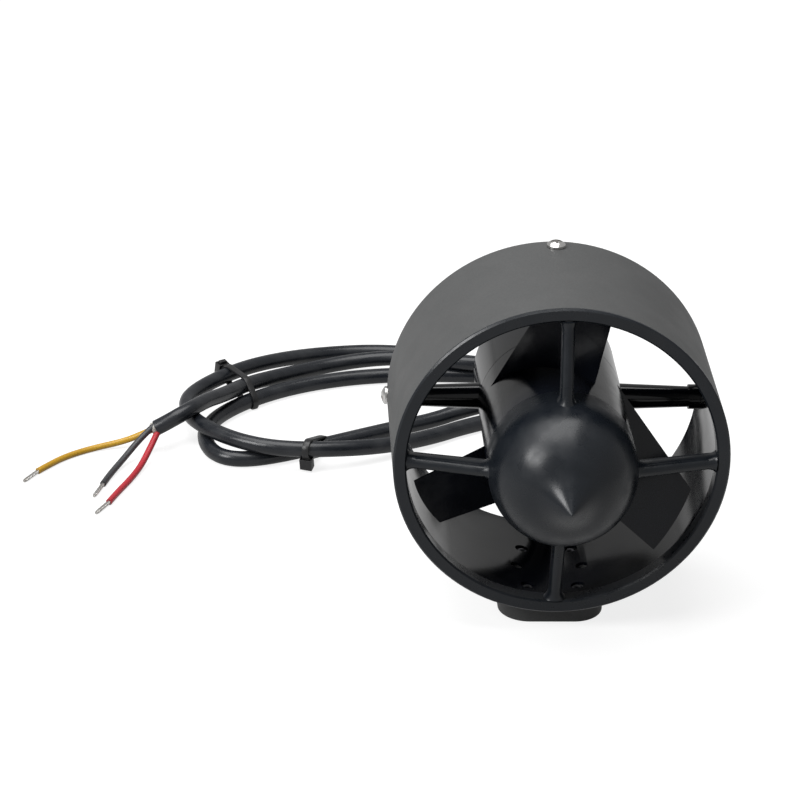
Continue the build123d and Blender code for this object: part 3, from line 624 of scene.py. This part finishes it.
def spline_points(cord: bpy.types.Object) -> list[Vector]:
    """The points that a cord's spline passes, read from the curve without its bevel.

    Args:
        cord: the cord.

    Returns:
        The points from its start to its end.
    """
    plain = cord.copy()
    plain.data = cord.data.copy()
    plain.data.bevel_depth = 0.0
    bpy.context.collection.objects.link(plain)
    bpy.context.view_layer.update()
    mesh = bpy.data.meshes.new_from_object(plain)
    points = [v.co.copy() for v in mesh.vertices]
    bpy.data.meshes.remove(mesh)
    bpy.data.objects.remove(plain)
    return points


def run_length(points: Sequence[Vector]) -> float:
    """Length of a line through points."""
    return sum((b - a).length for a, b in zip(points, points[1:]))


# ---------------------------------------------------------------- cable and wires

@dataclass(frozen=True)
class Pass:
    """One pass of the coil: from one of its ends to the other, bulging to the back or the front."""

    start: float            # angles in degrees: 0 at the right end, 90 at the back, 180 at the left
    stop: float
    left: tuple[float, float]
    right: tuple[float, float]
    bulge: float            # millimetres, negative to the front
    lean: float
    squareness: float

    def spot(self, angle: float) -> tuple[float, float]:
        """Place of the cable's centre at an angle.

        Args:
            angle: in degrees.

        Returns:
            x and y in millimetres.
        """
        turn = math.radians(angle)
        c = math.cos(turn)
        swell = math.exp(self.lean * c + self.squareness * math.cos(2 * turn))
        x = (self.left[0] + self.right[0]) / 2 + (self.right[0] - self.left[0]) / 2 * c
        y = (self.left[1] + self.right[1]) / 2 + (self.right[1] - self.left[1]) / 2 * c
        return x, y + self.bulge * abs(math.sin(turn)) * swell


@dataclass(frozen=True)
class RightTurn:
    """The round end of a turn at the right, which takes the place of the passes between two angles."""

    after: float
    before: float
    centre: tuple[float, float]
    radius: float
    first: float            # angles on its own circle
    last: float
    height: float

    def points(self, step: float) -> list[Point]:
        """Points of the arc.

        Args:
            step: degrees between two of them.

        Returns:
            The points in millimetres.
        """
        count = round((self.last - self.first) / step)
        turns = [math.radians(self.first + (self.last - self.first) * n / count) for n in range(count + 1)]
        return [(self.centre[0] + self.radius * math.cos(a), self.centre[1] + self.radius * math.sin(a),
                 self.height) for a in turns]


OUTER_LEFT = (-160.84, 171.24)
INNER_LEFT = (-151.49, 150.27)
RIGHT_END = (29.69, 201.76)


@dataclass
class Cable:
    """The jacketed cable: lead from the gland, coil on the floor, and the tail that lies over it."""

    radius: float = 3.75 * MM
    step: float = 10.0                  # degrees between two points of a turn
    coil_start: float = 66.0
    coil_stop: float = 841.0
    lead: tuple[Point, ...] = (
        (0, 86.5, 79), (1, 116, 78), (9, 140, 59), (24, 157, 34), (37, 173, 13), (44, 190, 3.75),
        (43, 207, 3.75), (34, 221.5, 3.75), (19, 230, 3.75), (2, 231.7, 3.75))
    passes: tuple[Pass, ...] = (
        Pass(0, 180, OUTER_LEFT, (41.0, 192.0), 46.44, -0.308, -0.332),
        Pass(180, 360, OUTER_LEFT, RIGHT_END, -40.08, -0.762, -0.290),
        Pass(360, 540, INNER_LEFT, RIGHT_END, 37.91, -0.377, -0.107),
        Pass(540, 720, INNER_LEFT, RIGHT_END, -20.82, -1.117, 0.118),
        Pass(720, 900, (-175.0, 160.0), RIGHT_END, 21.28, -0.310, -0.868))
    turns: tuple[RightTurn, ...] = (
        RightTurn(298, 424, (0.0, 197.0), 21.0, -68, 90, 3.75),
        RightTurn(653, 781, (-3.0, 197.0), 18.5, -75, 88, 11.3))
    heights: tuple[tuple[float, float], ...] = (
        (0, 3.75), (98, 3.75), (143, 10.0), (190, 10.2), (208, 11.2), (245, 11.2), (290, 3.75), (645, 3.75),
        (664, 10.5), (682, 11.3), (780, 11.3), (822, 5.0), (857, 10.3))
    tail: tuple[Point, ...] = (
        (-133.9, 192.5, 9.6), (-139.6, 181.5, 11.6), (-144.5, 172.5, 13.6), (-150.8, 162.0, 16.2),
        (-156.5, 151.0, 17.8), (-163.0, 144.8, 16.6), (-168.8, 142.8, 13.8), (-174.2, 142.1, 11.0))
    yellow: tuple[Point, ...] = (
        (-174.7, 143.7, 10.1), (-181.5, 143.6, 6.8), (-189.5, 143.6, 3.2), (-204.2, 139.5, 1.5),
        (-216.4, 130.6, 1.5), (-224.9, 119.9, 1.5), (-228.1, 115.4, 1.5))
    black: tuple[Point, ...] = (
        (-174.8, 141.8, 12.7), (-181.2, 136.5, 8.6), (-188.4, 126.0, 3.4), (-194.9, 111.5, 1.5),
        (-197.3, 102.4, 1.5))
    red: tuple[Point, ...] = (
        (-173.2, 140.8, 10.1), (-177.2, 129.5, 5.2), (-180.9, 118.0, 2.3), (-185.4, 106.0, 1.5),
        (-190.0, 94.8, 1.5), (-193.7, 84.3, 1.5))
    tips: tuple[Point, ...] = ((-233.9, 106.1, 1.0), (-200.9, 91.2, 1.0), (-199.1, 74.4, 1.0))
    wire_radius: float = 1.5 * MM

    def height(self, angle: float) -> float:
        """Height of the cable's centre in the coil.

        Args:
            angle: in degrees along the turns.

        Returns:
            The height in millimetres, eased between the listed ones.
        """
        for (a, low), (b, high) in zip(self.heights, self.heights[1:]):
            if angle <= b:
                share = (angle - a) / (b - a)
                return low + (high - low) * share * share * (3 - 2 * share)
        return self.heights[-1][1]

    def coil(self) -> list[Point]:
        """Points of the coil's turns in millimetres."""
        points = []
        turned = set()
        count = round((self.coil_stop - self.coil_start) / self.step)
        for number in range(count + 1):
            angle = self.coil_start + (self.coil_stop - self.coil_start) * number / count
            turn = next((t for t in self.turns if t.after < angle < t.before), None)
            if turn is None:
                current = next(p for p in self.passes if angle <= p.stop)
                points.append((*current.spot(angle), self.height(angle)))
            elif turn not in turned:
                turned.add(turn)
                points.extend(turn.points(1.6 * self.step))
        return points

    def build(self, wardrobe: Wardrobe) -> bpy.types.Object:
        """Makes the cable, its wires with their stranded ends, and the filler in the cut end.

        Args:
            wardrobe: the finishes.

        Returns:
            The jacketed cable.
        """
        route = metres([*self.lead, *self.coil(), *self.tail])
        cable = nurbs_cord("cable", route, self.radius)
        wardrobe.dress(cable, wardrobe.materials[Slot.JACKET.value])
        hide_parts("cable_lead", "cable_coil", "cable_tail")
        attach(cable, Body.HOUSING.value)
        filler = self.build_filler(route[-1], route[-1] - route[-2], wardrobe)
        length = run_length(spline_points(cable))
        log.info("cable is %.3f m long", length)
        self.build_wire("wire_yellow", self.yellow, self.tips[0], Slot.YELLOW, wardrobe)
        self.build_wire("wire_black", self.black, self.tips[1], Slot.BLACK, wardrobe)
        self.build_wire("wire_red", self.red, self.tips[2], Slot.RED, wardrobe)
        return cable

    def build_wire(self, name: str, points: Sequence[Point], tip: Point, slot: Slot,
                   wardrobe: Wardrobe) -> None:
        """Makes one insulated wire and its tinned end.

        Args:
            name: the wire's name.
            points: its control points in millimetres.
            tip: the end of its strands in millimetres.
            slot: its material slot.
            wardrobe: the finishes.
        """
        route = metres(points)
        wire = nurbs_cord(name, route, self.wire_radius)
        wardrobe.dress(wire, wardrobe.materials[slot.value])
        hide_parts(slot.value)
        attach(wire, Body.HOUSING.value)
        strands = self.build_strands(f"strands_{name}", route[-1], metres([tip])[0], wardrobe)
        length = run_length(spline_points(wire))
        log.info("%s is %.3f m long", name, length)

    def build_strands(self, name: str, start: Vector, tip: Vector, wardrobe: Wardrobe) -> bpy.types.Object:
        """Makes the twisted, tinned strands that stand out of a wire's insulation.

        Args:
            name: the piece's name.
            start: end of the insulation.
            tip: end of the strands.
            wardrobe: the finishes.

        Returns:
            The piece.
        """
        strand_count, per_strand, sections = 7, 6, 22
        reach = (tip - start).length + 1.5 * MM
        deselect()
        bpy.ops.mesh.primitive_circle_add(vertices=strand_count * per_strand, radius=0.92 * MM,
                                          fill_type="NGON", location=(0, 0, 0))
        piece = bpy.context.object
        for number, vertex in enumerate(piece.data.vertices):
            lobe = abs(math.sin(math.pi * number / per_strand))
            vertex.co *= 0.78 + 0.26 * lobe
        bpy.ops.object.mode_set(mode="EDIT")
        bpy.ops.mesh.select_all(action="SELECT")
        for section in range(sections):
            bpy.ops.mesh.extrude_region_move(TRANSFORM_OT_translate={"value": (0, 0, reach / sections)})
            bpy.ops.transform.rotate(value=math.radians(11), orient_axis="Z", center_override=(0, 0, 0))
            if section >= sections - 3:
                bpy.ops.transform.resize(value=(0.9, 0.9, 1.0), center_override=(0, 0, 0))
        bpy.ops.object.mode_set(mode="OBJECT")
        direction = (tip - start).normalized()
        settle(piece, along(start - 1.5 * MM * direction, direction), name)
        smooth(piece, 60)
        wardrobe.dress(piece, wardrobe.materials[Slot.TINNED.value])
        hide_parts("tinned_ends")
        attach(piece, Body.HOUSING.value)
        return piece

    def build_filler(self, end: Vector, direction: Vector, wardrobe: Wardrobe) -> bpy.types.Object:
        """Makes the filler that shows between the wires in the cut end of the jacket.

        Args:
            end: centre of the cut.
            direction: the way out of the cable.
            wardrobe: the finishes.

        Returns:
            The piece.
        """
        deselect()
        bpy.ops.mesh.primitive_circle_add(vertices=36, radius=3.3 * MM, fill_type="NGON", location=(0, 0, 0))
        piece = bpy.context.object
        bpy.ops.object.mode_set(mode="EDIT")
        bpy.ops.mesh.select_all(action="SELECT")
        for rise, share in ((3.2, 1.0), (0.7, 0.92), (0.4, 0.75)):
            bpy.ops.mesh.extrude_region_move(TRANSFORM_OT_translate={"value": (0, 0, rise * MM)})
            bpy.ops.transform.resize(value=(share, share, 1.0), center_override=(0, 0, 0))
        bpy.ops.object.mode_set(mode="OBJECT")
        settle(piece, along(end - 2.0 * MM * direction.normalized(), direction), "cable_filler")
        smooth(piece)
        wardrobe.dress(piece, wardrobe.filler)
        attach(piece, Body.HOUSING.value)
        return piece


@dataclass
class CableTie:
    """A nylon tie: a toothed strap drawn round the strands, its head and the cut end of its tail."""

    node: str
    middle: Point               # where it crosses the band of strands, in millimetres
    across: Point               # level direction across the band, outwards
    head_angle: float           # degrees round the bundle, 0 outwards and 90 on top
    reach: float = 18.0         # strands within this distance of the middle are held
    width: float = 3.2 * MM
    thickness: float = 1.1 * MM
    head: float = 5.8 * MM

    def crossings(self, line: Sequence[Vector], strand: float) -> list[tuple[float, float]]:
        """Where the strands cross the tie's plane.

        Args:
            line: points along the cable.
            strand: the cable's radius; not used.

        Returns:
            Distance outwards and height of each crossing, in metres.
        """
        middle = Vector((*self.middle[:2], 0)) * MM
        outward = Vector(self.across).normalized()
        normal = outward.cross(Vector((0, 0, 1)))
        found = []
        for a, b in zip(line, line[1:]):
            da, db = (a - middle).dot(normal), (b - middle).dot(normal)
            if da * db > 0 or da == db:
                continue
            spot = a.lerp(b, da / (da - db))
            distance = (spot - middle).dot(outward)
            if abs(distance) < self.reach * MM:
                found.append((distance, spot.z))
        return found

    def build(self, line: Sequence[Vector], strand: float, wardrobe: Wardrobe) -> bpy.types.Object:
        """Makes the tie.

        Args:
            line: points along the cable.
            strand: the cable's radius.
            wardrobe: the finishes.

        Returns:
            The piece.
        """
        held = self.crossings(line, strand)
        log.info("%s holds %s", self.node, [(round(d / MM, 1), round(z / MM, 1)) for d, z in held])
        centre = (sum(d for d, _ in held) / len(held), sum(z for _, z in held) / len(held))
        deselect()
        steps = 72
        bpy.ops.mesh.primitive_circle_add(vertices=steps, radius=10 * MM, location=(0, 0, 0))
        strap = bpy.context.object
        for number, vertex in enumerate(strap.data.vertices):
            vertex.co = self.wrap_point(360.0 * number / steps, held, centre, strand + 0.55 * self.thickness)
        bpy.ops.object.mode_set(mode="EDIT")
        bpy.ops.mesh.select_all(action="SELECT")
        bpy.ops.transform.translate(value=(0, 0, -self.width / 2))
        bpy.ops.mesh.extrude_region_move(TRANSFORM_OT_translate={"value": (0, 0, self.width)})
        bpy.ops.object.mode_set(mode="OBJECT")
        solid = strap.modifiers.new("wall", "SOLIDIFY")
        solid.thickness = self.thickness
        solid.offset = 0.0
        bevel = strap.modifiers.new("edges", "BEVEL")
        bevel.width = 0.22 * MM
        bevel.segments = 2
        bevel.angle_limit = math.radians(50)
        select_only(strap)
        bpy.ops.object.modifier_apply(modifier="wall")
        bpy.ops.object.modifier_apply(modifier="edges")
        parts = [strap, self.build_head(held, centre, strand)]
        deselect()
        for part in parts:
            part.select_set(True)
        bpy.context.view_layer.objects.active = strap
        bpy.ops.object.join()
        outward = Vector(self.across).normalized()
        up = Vector((0, 0, 1))
        place = Matrix((outward, up, outward.cross(up))).transposed().to_4x4()
        place.translation = Vector((*self.middle[:2], 0)) * MM
        settle(strap, place, f"nylon_{self.node}")
        smooth(strap)
        wardrobe.dress(strap, wardrobe.materials[Slot.TIE.value])
        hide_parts(self.node)
        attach(strap, Body.HOUSING.value)
        return strap

    def wrap_point(self, angle: float, held: Sequence[tuple[float, float]], centre: tuple[float, float],
                   offset: float) -> Vector:
        """A point of the line that is drawn tight round the strands.

        Args:
            angle: direction from the bundle's centre, in degrees.
            held: the strands' places in the tie's plane.
            centre: the bundle's centre.
            offset: distance of the line from a strand's centre.

        Returns:
            The point in the tie's plane, x outwards and y up.
        """
        look = Vector((math.cos(math.radians(angle)), math.sin(math.radians(angle))))
        rays = 180
        nearest = math.inf
        for number in range(rays):
            a = math.tau * number / rays
            normal = Vector((math.cos(a), math.sin(a)))
            facing = look.dot(normal)
            if facing < 0.05:
                continue
            support = max((d - centre[0]) * normal.x + (z - centre[1]) * normal.y for d, z in held) + offset
            nearest = min(nearest, support / facing)
        lowest = 0.6 * self.thickness
        return Vector((centre[0] + nearest * look.x, max(centre[1] + nearest * look.y, lowest), 0))

    def build_head(self, held: Sequence[tuple[float, float]], centre: tuple[float, float],
                   strand: float) -> bpy.types.Object:
        """Makes the tie's head with its mouth and the stub of the cut tail.

        Args:
            held: the strands' places in the tie's plane.
            centre: the bundle's centre.
            strand: the cable's radius.

        Returns:
            The piece, in the tie's plane.
        """
        deselect()
        bpy.ops.mesh.primitive_cube_add(size=1.0, location=(0, 0, 0))
        head = bpy.context.object
        bpy.ops.object.mode_set(mode="EDIT")
        bpy.ops.mesh.select_all(action="SELECT")
        bpy.ops.transform.resize(value=(0.72 * self.head, self.head, self.head))
        top = 0.49 * self.head
        pick_vertices(head, lambda co: co.y > top)
        bpy.ops.mesh.select_mode(type="FACE")
        bpy.ops.mesh.inset(thickness=0.75 * MM)
        bpy.ops.mesh.extrude_region_move(TRANSFORM_OT_translate={"value": (0, -1.2 * MM, 0)})
        bpy.ops.mesh.inset(thickness=0.3 * MM)
        bpy.ops.mesh.extrude_region_move(TRANSFORM_OT_translate={"value": (0, 2.4 * MM, 0)})
        bpy.ops.object.mode_set(mode="OBJECT")
        bevel = head.modifiers.new("edges", "BEVEL")
        bevel.width = 0.35 * MM
        bevel.segments = 3
        select_only(head)
        bpy.ops.object.modifier_apply(modifier="edges")
        seat = self.wrap_point(self.head_angle, held, centre, strand + self.thickness + 0.3 * self.head)
        turn = Matrix.Rotation(math.radians(self.head_angle), 4, "Z")
        head.matrix_world = Matrix.Translation(seat) @ turn
        select_only(head)
        bpy.ops.object.transform_apply(location=True, rotation=True, scale=True)
        return head


# ---------------------------------------------------------------- intake guard

@dataclass
class Guard:
    """Outer skin of the intake guard: the nose with its cone, and round spokes with flared roots.

    Sizes are in millimetres, axial places from the duct's middle.
    """

    hub: float = 31.12          # radius of the nose's skin
    inner: float = 30.4
    back: float = -31.4
    centre: float = -42.7
    cone_foot: float = 15.0     # radius at which the cone starts to rise from the sphere
    cone_edge: float = 7.0      # radius at which its flank is straight
    tip: float = -83.2
    ridge_start: Point = (29.8, -46.3, -37.6)       # radius, front and back of a spoke's section
    ridge_stop: Point = (65.6, -36.6, -29.7)
    ridge_width: float = 5.3
    stations: tuple[tuple[float, float], ...] = (       # radius and width of a spoke's sections
        (30.1, 9.4), (30.6, 8.2), (31.2, 7.2), (32.0, 6.4), (33.2, 5.8), (35.0, 5.4), (42.0, 5.3), (50.0, 5.3),
        (57.5, 5.3), (60.5, 5.6), (62.0, 6.2), (63.0, 7.0), (63.8, 8.2), (64.3, 9.4))

    def nose_outline(self) -> list[tuple[float, float]]:
        """Closed outline of the nose's skin: outside from the back to the tip, and inside back again."""
        sphere_steps, cone_steps, inner_steps = 16, 8, 12
        outline = [(self.hub, self.back), (self.hub, self.back - 4), (self.hub, self.back - 8)]
        foot = math.asin(self.cone_foot / self.hub)
        for number in range(sphere_steps + 1):
            turn = math.pi / 2 + (foot - math.pi / 2) * number / sphere_steps
            outline.append((self.hub * math.sin(turn), self.centre - self.hub * math.cos(turn)))
        start = self.centre - self.hub * math.cos(foot)
        slope = math.tan(foot)
        reach = self.cone_foot - self.cone_edge
        bend = (1.0 - slope) / (2 * reach)
        for number in range(1, cone_steps + 1):
            inwards = reach * number / cone_steps
            outline.append((self.cone_foot - inwards, start - slope * inwards - bend * inwards ** 2))
        edge = outline[-1][1]
        for radius in (5.0, 3.0, 1.6, 0.8):
            outline.append((radius, edge - (self.cone_edge - radius)))
        outline.extend([(0.35, self.tip + 0.3), (0.0, self.tip)])
        for number in range(inner_steps + 1):
            turn = math.pi / 2 * number / inner_steps
            outline.append((self.inner * math.sin(turn), self.centre - self.inner * math.cos(turn)))
        outline.append((self.inner, self.back))
        return outline

    def section(self, radius: float, width: float) -> tuple[float, float]:
        """Front and back of a spoke's section as axial places; a wide root also swells to the front."""
        share = (radius - self.ridge_start[0]) / (self.ridge_stop[0] - self.ridge_start[0])
        front = self.ridge_start[1] + share * (self.ridge_stop[1] - self.ridge_start[1])
        back = self.ridge_start[2] + share * (self.ridge_stop[2] - self.ridge_start[2])
        return front - (width - self.ridge_width) / 4, back

    def model_spoke(self) -> bpy.types.Object:
        """Models one spoke along Z: a D-shaped section that flares into the nose and the rim.

        Returns:
            The spoke, before it is put in place.
        """
        deselect()
        corners = 28
        bpy.ops.mesh.primitive_circle_add(vertices=corners, radius=MM, fill_type="NGON", location=(0, 0, 0))
        spoke = bpy.context.object
        first, width = self.stations[0]
        front, back = self.section(first, width)
        for number, vertex in enumerate(spoke.data.vertices):
            turn = math.tau * number / corners
            across, along_axis = math.cos(turn), math.sin(turn)
            if along_axis > 0:
                squared = (abs(across) ** 4 + abs(along_axis) ** 4) ** 0.25
                across, along_axis = across / squared, along_axis / squared
            depth = (back - front) / 2
            vertex.co = Vector((across * width / 2, (front + back) / 2 + along_axis * depth, first)) * MM
        bpy.ops.object.mode_set(mode="EDIT")
        bpy.ops.mesh.select_all(action="SELECT")
        last, last_width, last_front, last_back = first, width, front, back
        for radius, width in self.stations[1:]:
            front, back = self.section(radius, width)
            bpy.ops.mesh.extrude_region_move(
                TRANSFORM_OT_translate={"value": (0, ((front + back) - (last_front + last_back)) / 2 * MM,
                                                  (radius - last) * MM)})
            bpy.ops.transform.resize(value=(width / last_width, (back - front) / (last_back - last_front), 1.0),
                                     center_override=(0, (front + back) / 2 * MM, radius * MM))
            last, last_width, last_front, last_back = radius, width, front, back
        bpy.ops.object.mode_set(mode="OBJECT")
        return spoke

    def build(self, wardrobe: Wardrobe) -> None:
        """Makes the nose's skin and the four spokes.

        Args:
            wardrobe: the finishes.
        """
        pieces = [lathe(self.nose_outline(), "guard_nose")]
        pattern = self.model_spoke()
        for number in range(4):
            select_only(pattern)
            bpy.ops.object.duplicate(linked=False)
            turn = math.radians(90 * number)
            outwards = Vector((math.cos(turn), 0, math.sin(turn)))
            axial = Vector((0, 1, 0))
            place = Matrix((axial.cross(outwards), axial, outwards)).transposed().to_4x4()
            place.translation = AXIS
            pieces.append(settle(bpy.context.object, place, f"guard_spoke_{number + 1}"))
        bpy.data.objects.remove(pattern)
        for piece in pieces:
            smooth(piece, 50)
            wardrobe.dress(piece, wardrobe.materials[Slot.GUARD.value])
            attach(piece, Body.HOUSING.value)
            log.info("built %s", piece.name)


# ---------------------------------------------------------------- stage, light and camera

@dataclass
class Stage:
    """White floor that runs to the horizon, and a white surround."""

    half_size: float = 6.0
    lit: float = 0.08           # strength of the surround's light on the object
    mirrored: float = 0.38      # strength at which gloss mirrors the surround

    def build_floor(self) -> None:
        """Makes the floor, which shows white to the camera and keeps the object's shadow."""
        deselect()
        bpy.ops.mesh.primitive_plane_add(size=2 * self.half_size, location=(0, 0, 0))
        floor = bpy.context.object
        floor.name = "floor"
        shader = Shader("floor_white")
        seen = self.seen(shader)
        shader.finish({"Base Color": (0.34, 0.34, 0.34, 1.0), "Roughness": 0.9, "Specular IOR Level": 0.1,
                       "Emission Strength": 1.0},
                      {"Emission Color": shader.mixed(seen, (0.0, 0.0, 0.0), (0.82, 0.82, 0.82))})
        floor.data.materials.append(shader.material)

    def seen(self, shader: Union[Shader, "WorldTree"]) -> Value:
        """How far a ray shows the surround itself: fully from the camera and through glass, less in gloss."""
        camera = shader.node("ShaderNodeLightPath", {}, {}, "Is Camera Ray")
        glossy = shader.node("ShaderNodeLightPath", {}, {}, "Is Glossy Ray")
        through = shader.node("ShaderNodeLightPath", {}, {}, "Is Transmission Ray")
        return camera.highest(glossy * self.mirrored).highest(through)

    def build_world(self) -> None:
        """Sets the surround: white where it is seen, and plain soft light elsewhere."""
        world = bpy.data.worlds.new("surround")
        bpy.context.scene.world = world
        world.use_nodes = True
        tree = WorldTree(world)
        seen = self.seen(tree)
        strength = seen * (1.0 - self.lit) + self.lit
        background = world.node_tree.nodes["Background"]
        background.inputs["Color"].default_value = (1.0, 1.0, 1.0, 1.0)
        world.node_tree.links.new(strength.socket, background.inputs["Strength"])

    def build_lamps(self) -> None:
        """Sets soft lamps: a large one overhead, and one high on the left."""
        self.add_lamp("overhead", (-0.2, 0.1, 1.25), (0, 0.05, 0.05), 1.1, 15.0)
        self.add_lamp("upper_left", (-1.1, -0.6, 0.95), (0, 0, 0.08), 0.6, 13.0)

    def add_lamp(self, name: str, place: Point, aim: Point, size: float, power: float) -> None:
        """Adds a square soft lamp.

        Args:
            name: its name.
            place: where it hangs.
            aim: the point that it faces.
            size: its side.
            power: its power in watts.
        """
        data = bpy.data.lights.new(name, "AREA")
        data.size = size
        data.energy = power
        lamp = bpy.data.objects.new(name, data)
        bpy.context.collection.objects.link(lamp)
        lamp.matrix_world = along(Vector(place), Vector(place) - Vector(aim))

    def build(self) -> None:
        """Makes the floor, the surround and the lamps, and the plain view transform."""
        self.build_floor()
        self.build_world()
        self.build_lamps()
        bpy.context.scene.view_settings.view_transform = "Standard"


class WorldTree(Shader):
    """The surround's node tree, with the same short ways to add nodes."""

    def __init__(self, world: bpy.types.World) -> None:
        """Wraps a world's nodes.

        Args:
            world: the world.
        """
        self.tree = world.node_tree


@dataclass
class PhotoCamera:
    """The camera that took the picture, as fitted to the duct's rims."""

    azimuth: float = -2.803
    elevation: float = 25.353
    roll: float = 1.471
    distance: float = 1.2748
    shift_right: float = -0.06558
    shift_up: float = 0.01077
    lens: float = 135.2
    sensor: float = 36.0

    def build(self) -> bpy.types.Object:
        """Makes the camera and sets it as the scene's.

        Returns:
            The camera.
        """
        a, e, r = (math.radians(x) for x in (self.azimuth, self.elevation, self.roll))
        back = Vector((math.sin(a) * math.cos(e), -math.cos(a) * math.cos(e), math.sin(e)))
        level = Vector((math.cos(a), math.sin(a), 0))
        upright = back.cross(level)
        right = math.cos(r) * level + math.sin(r) * upright
        up = -math.sin(r) * level + math.cos(r) * upright
        data = bpy.data.cameras.new("photo_camera")
        data.sensor_width = self.sensor
        data.lens = self.lens
        data.clip_start = 0.05
        data.clip_end = 50.0
        camera = bpy.data.objects.new("photo_camera", data)
        bpy.context.collection.objects.link(camera)
        place = Matrix((right, up, back)).transposed().to_4x4()
        place.translation = AXIS + back * self.distance + right * self.shift_right + up * self.shift_up
        camera.matrix_world = place
        bpy.context.scene.camera = camera
        return camera


def main() -> None:
    """Builds the camera, the finishes, the cords, the ties, the guard's skin and the stage, in that order."""
    logging.basicConfig(level=logging.INFO, format="%(message)s")
    PhotoCamera().build()
    wardrobe = Wardrobe()
    cable = Cable()
    jacket = cable.build(wardrobe)
    line = spline_points(jacket)
    ties = (CableTie("tie_back", (-135.2, 197, 0), (-0.543, 0.84, 0), 10.0),
            CableTie("tie_front", (-101, 125, 0), (-0.34, -0.94, 0), -14.0))
    for tie in ties:
        tie.build(line, cable.radius, wardrobe)
        log.info("built %s", tie.node)
    Guard().build(wardrobe)
    wardrobe.dress_frame()
    Stage().build()


if __name__ == "__main__":
    main()
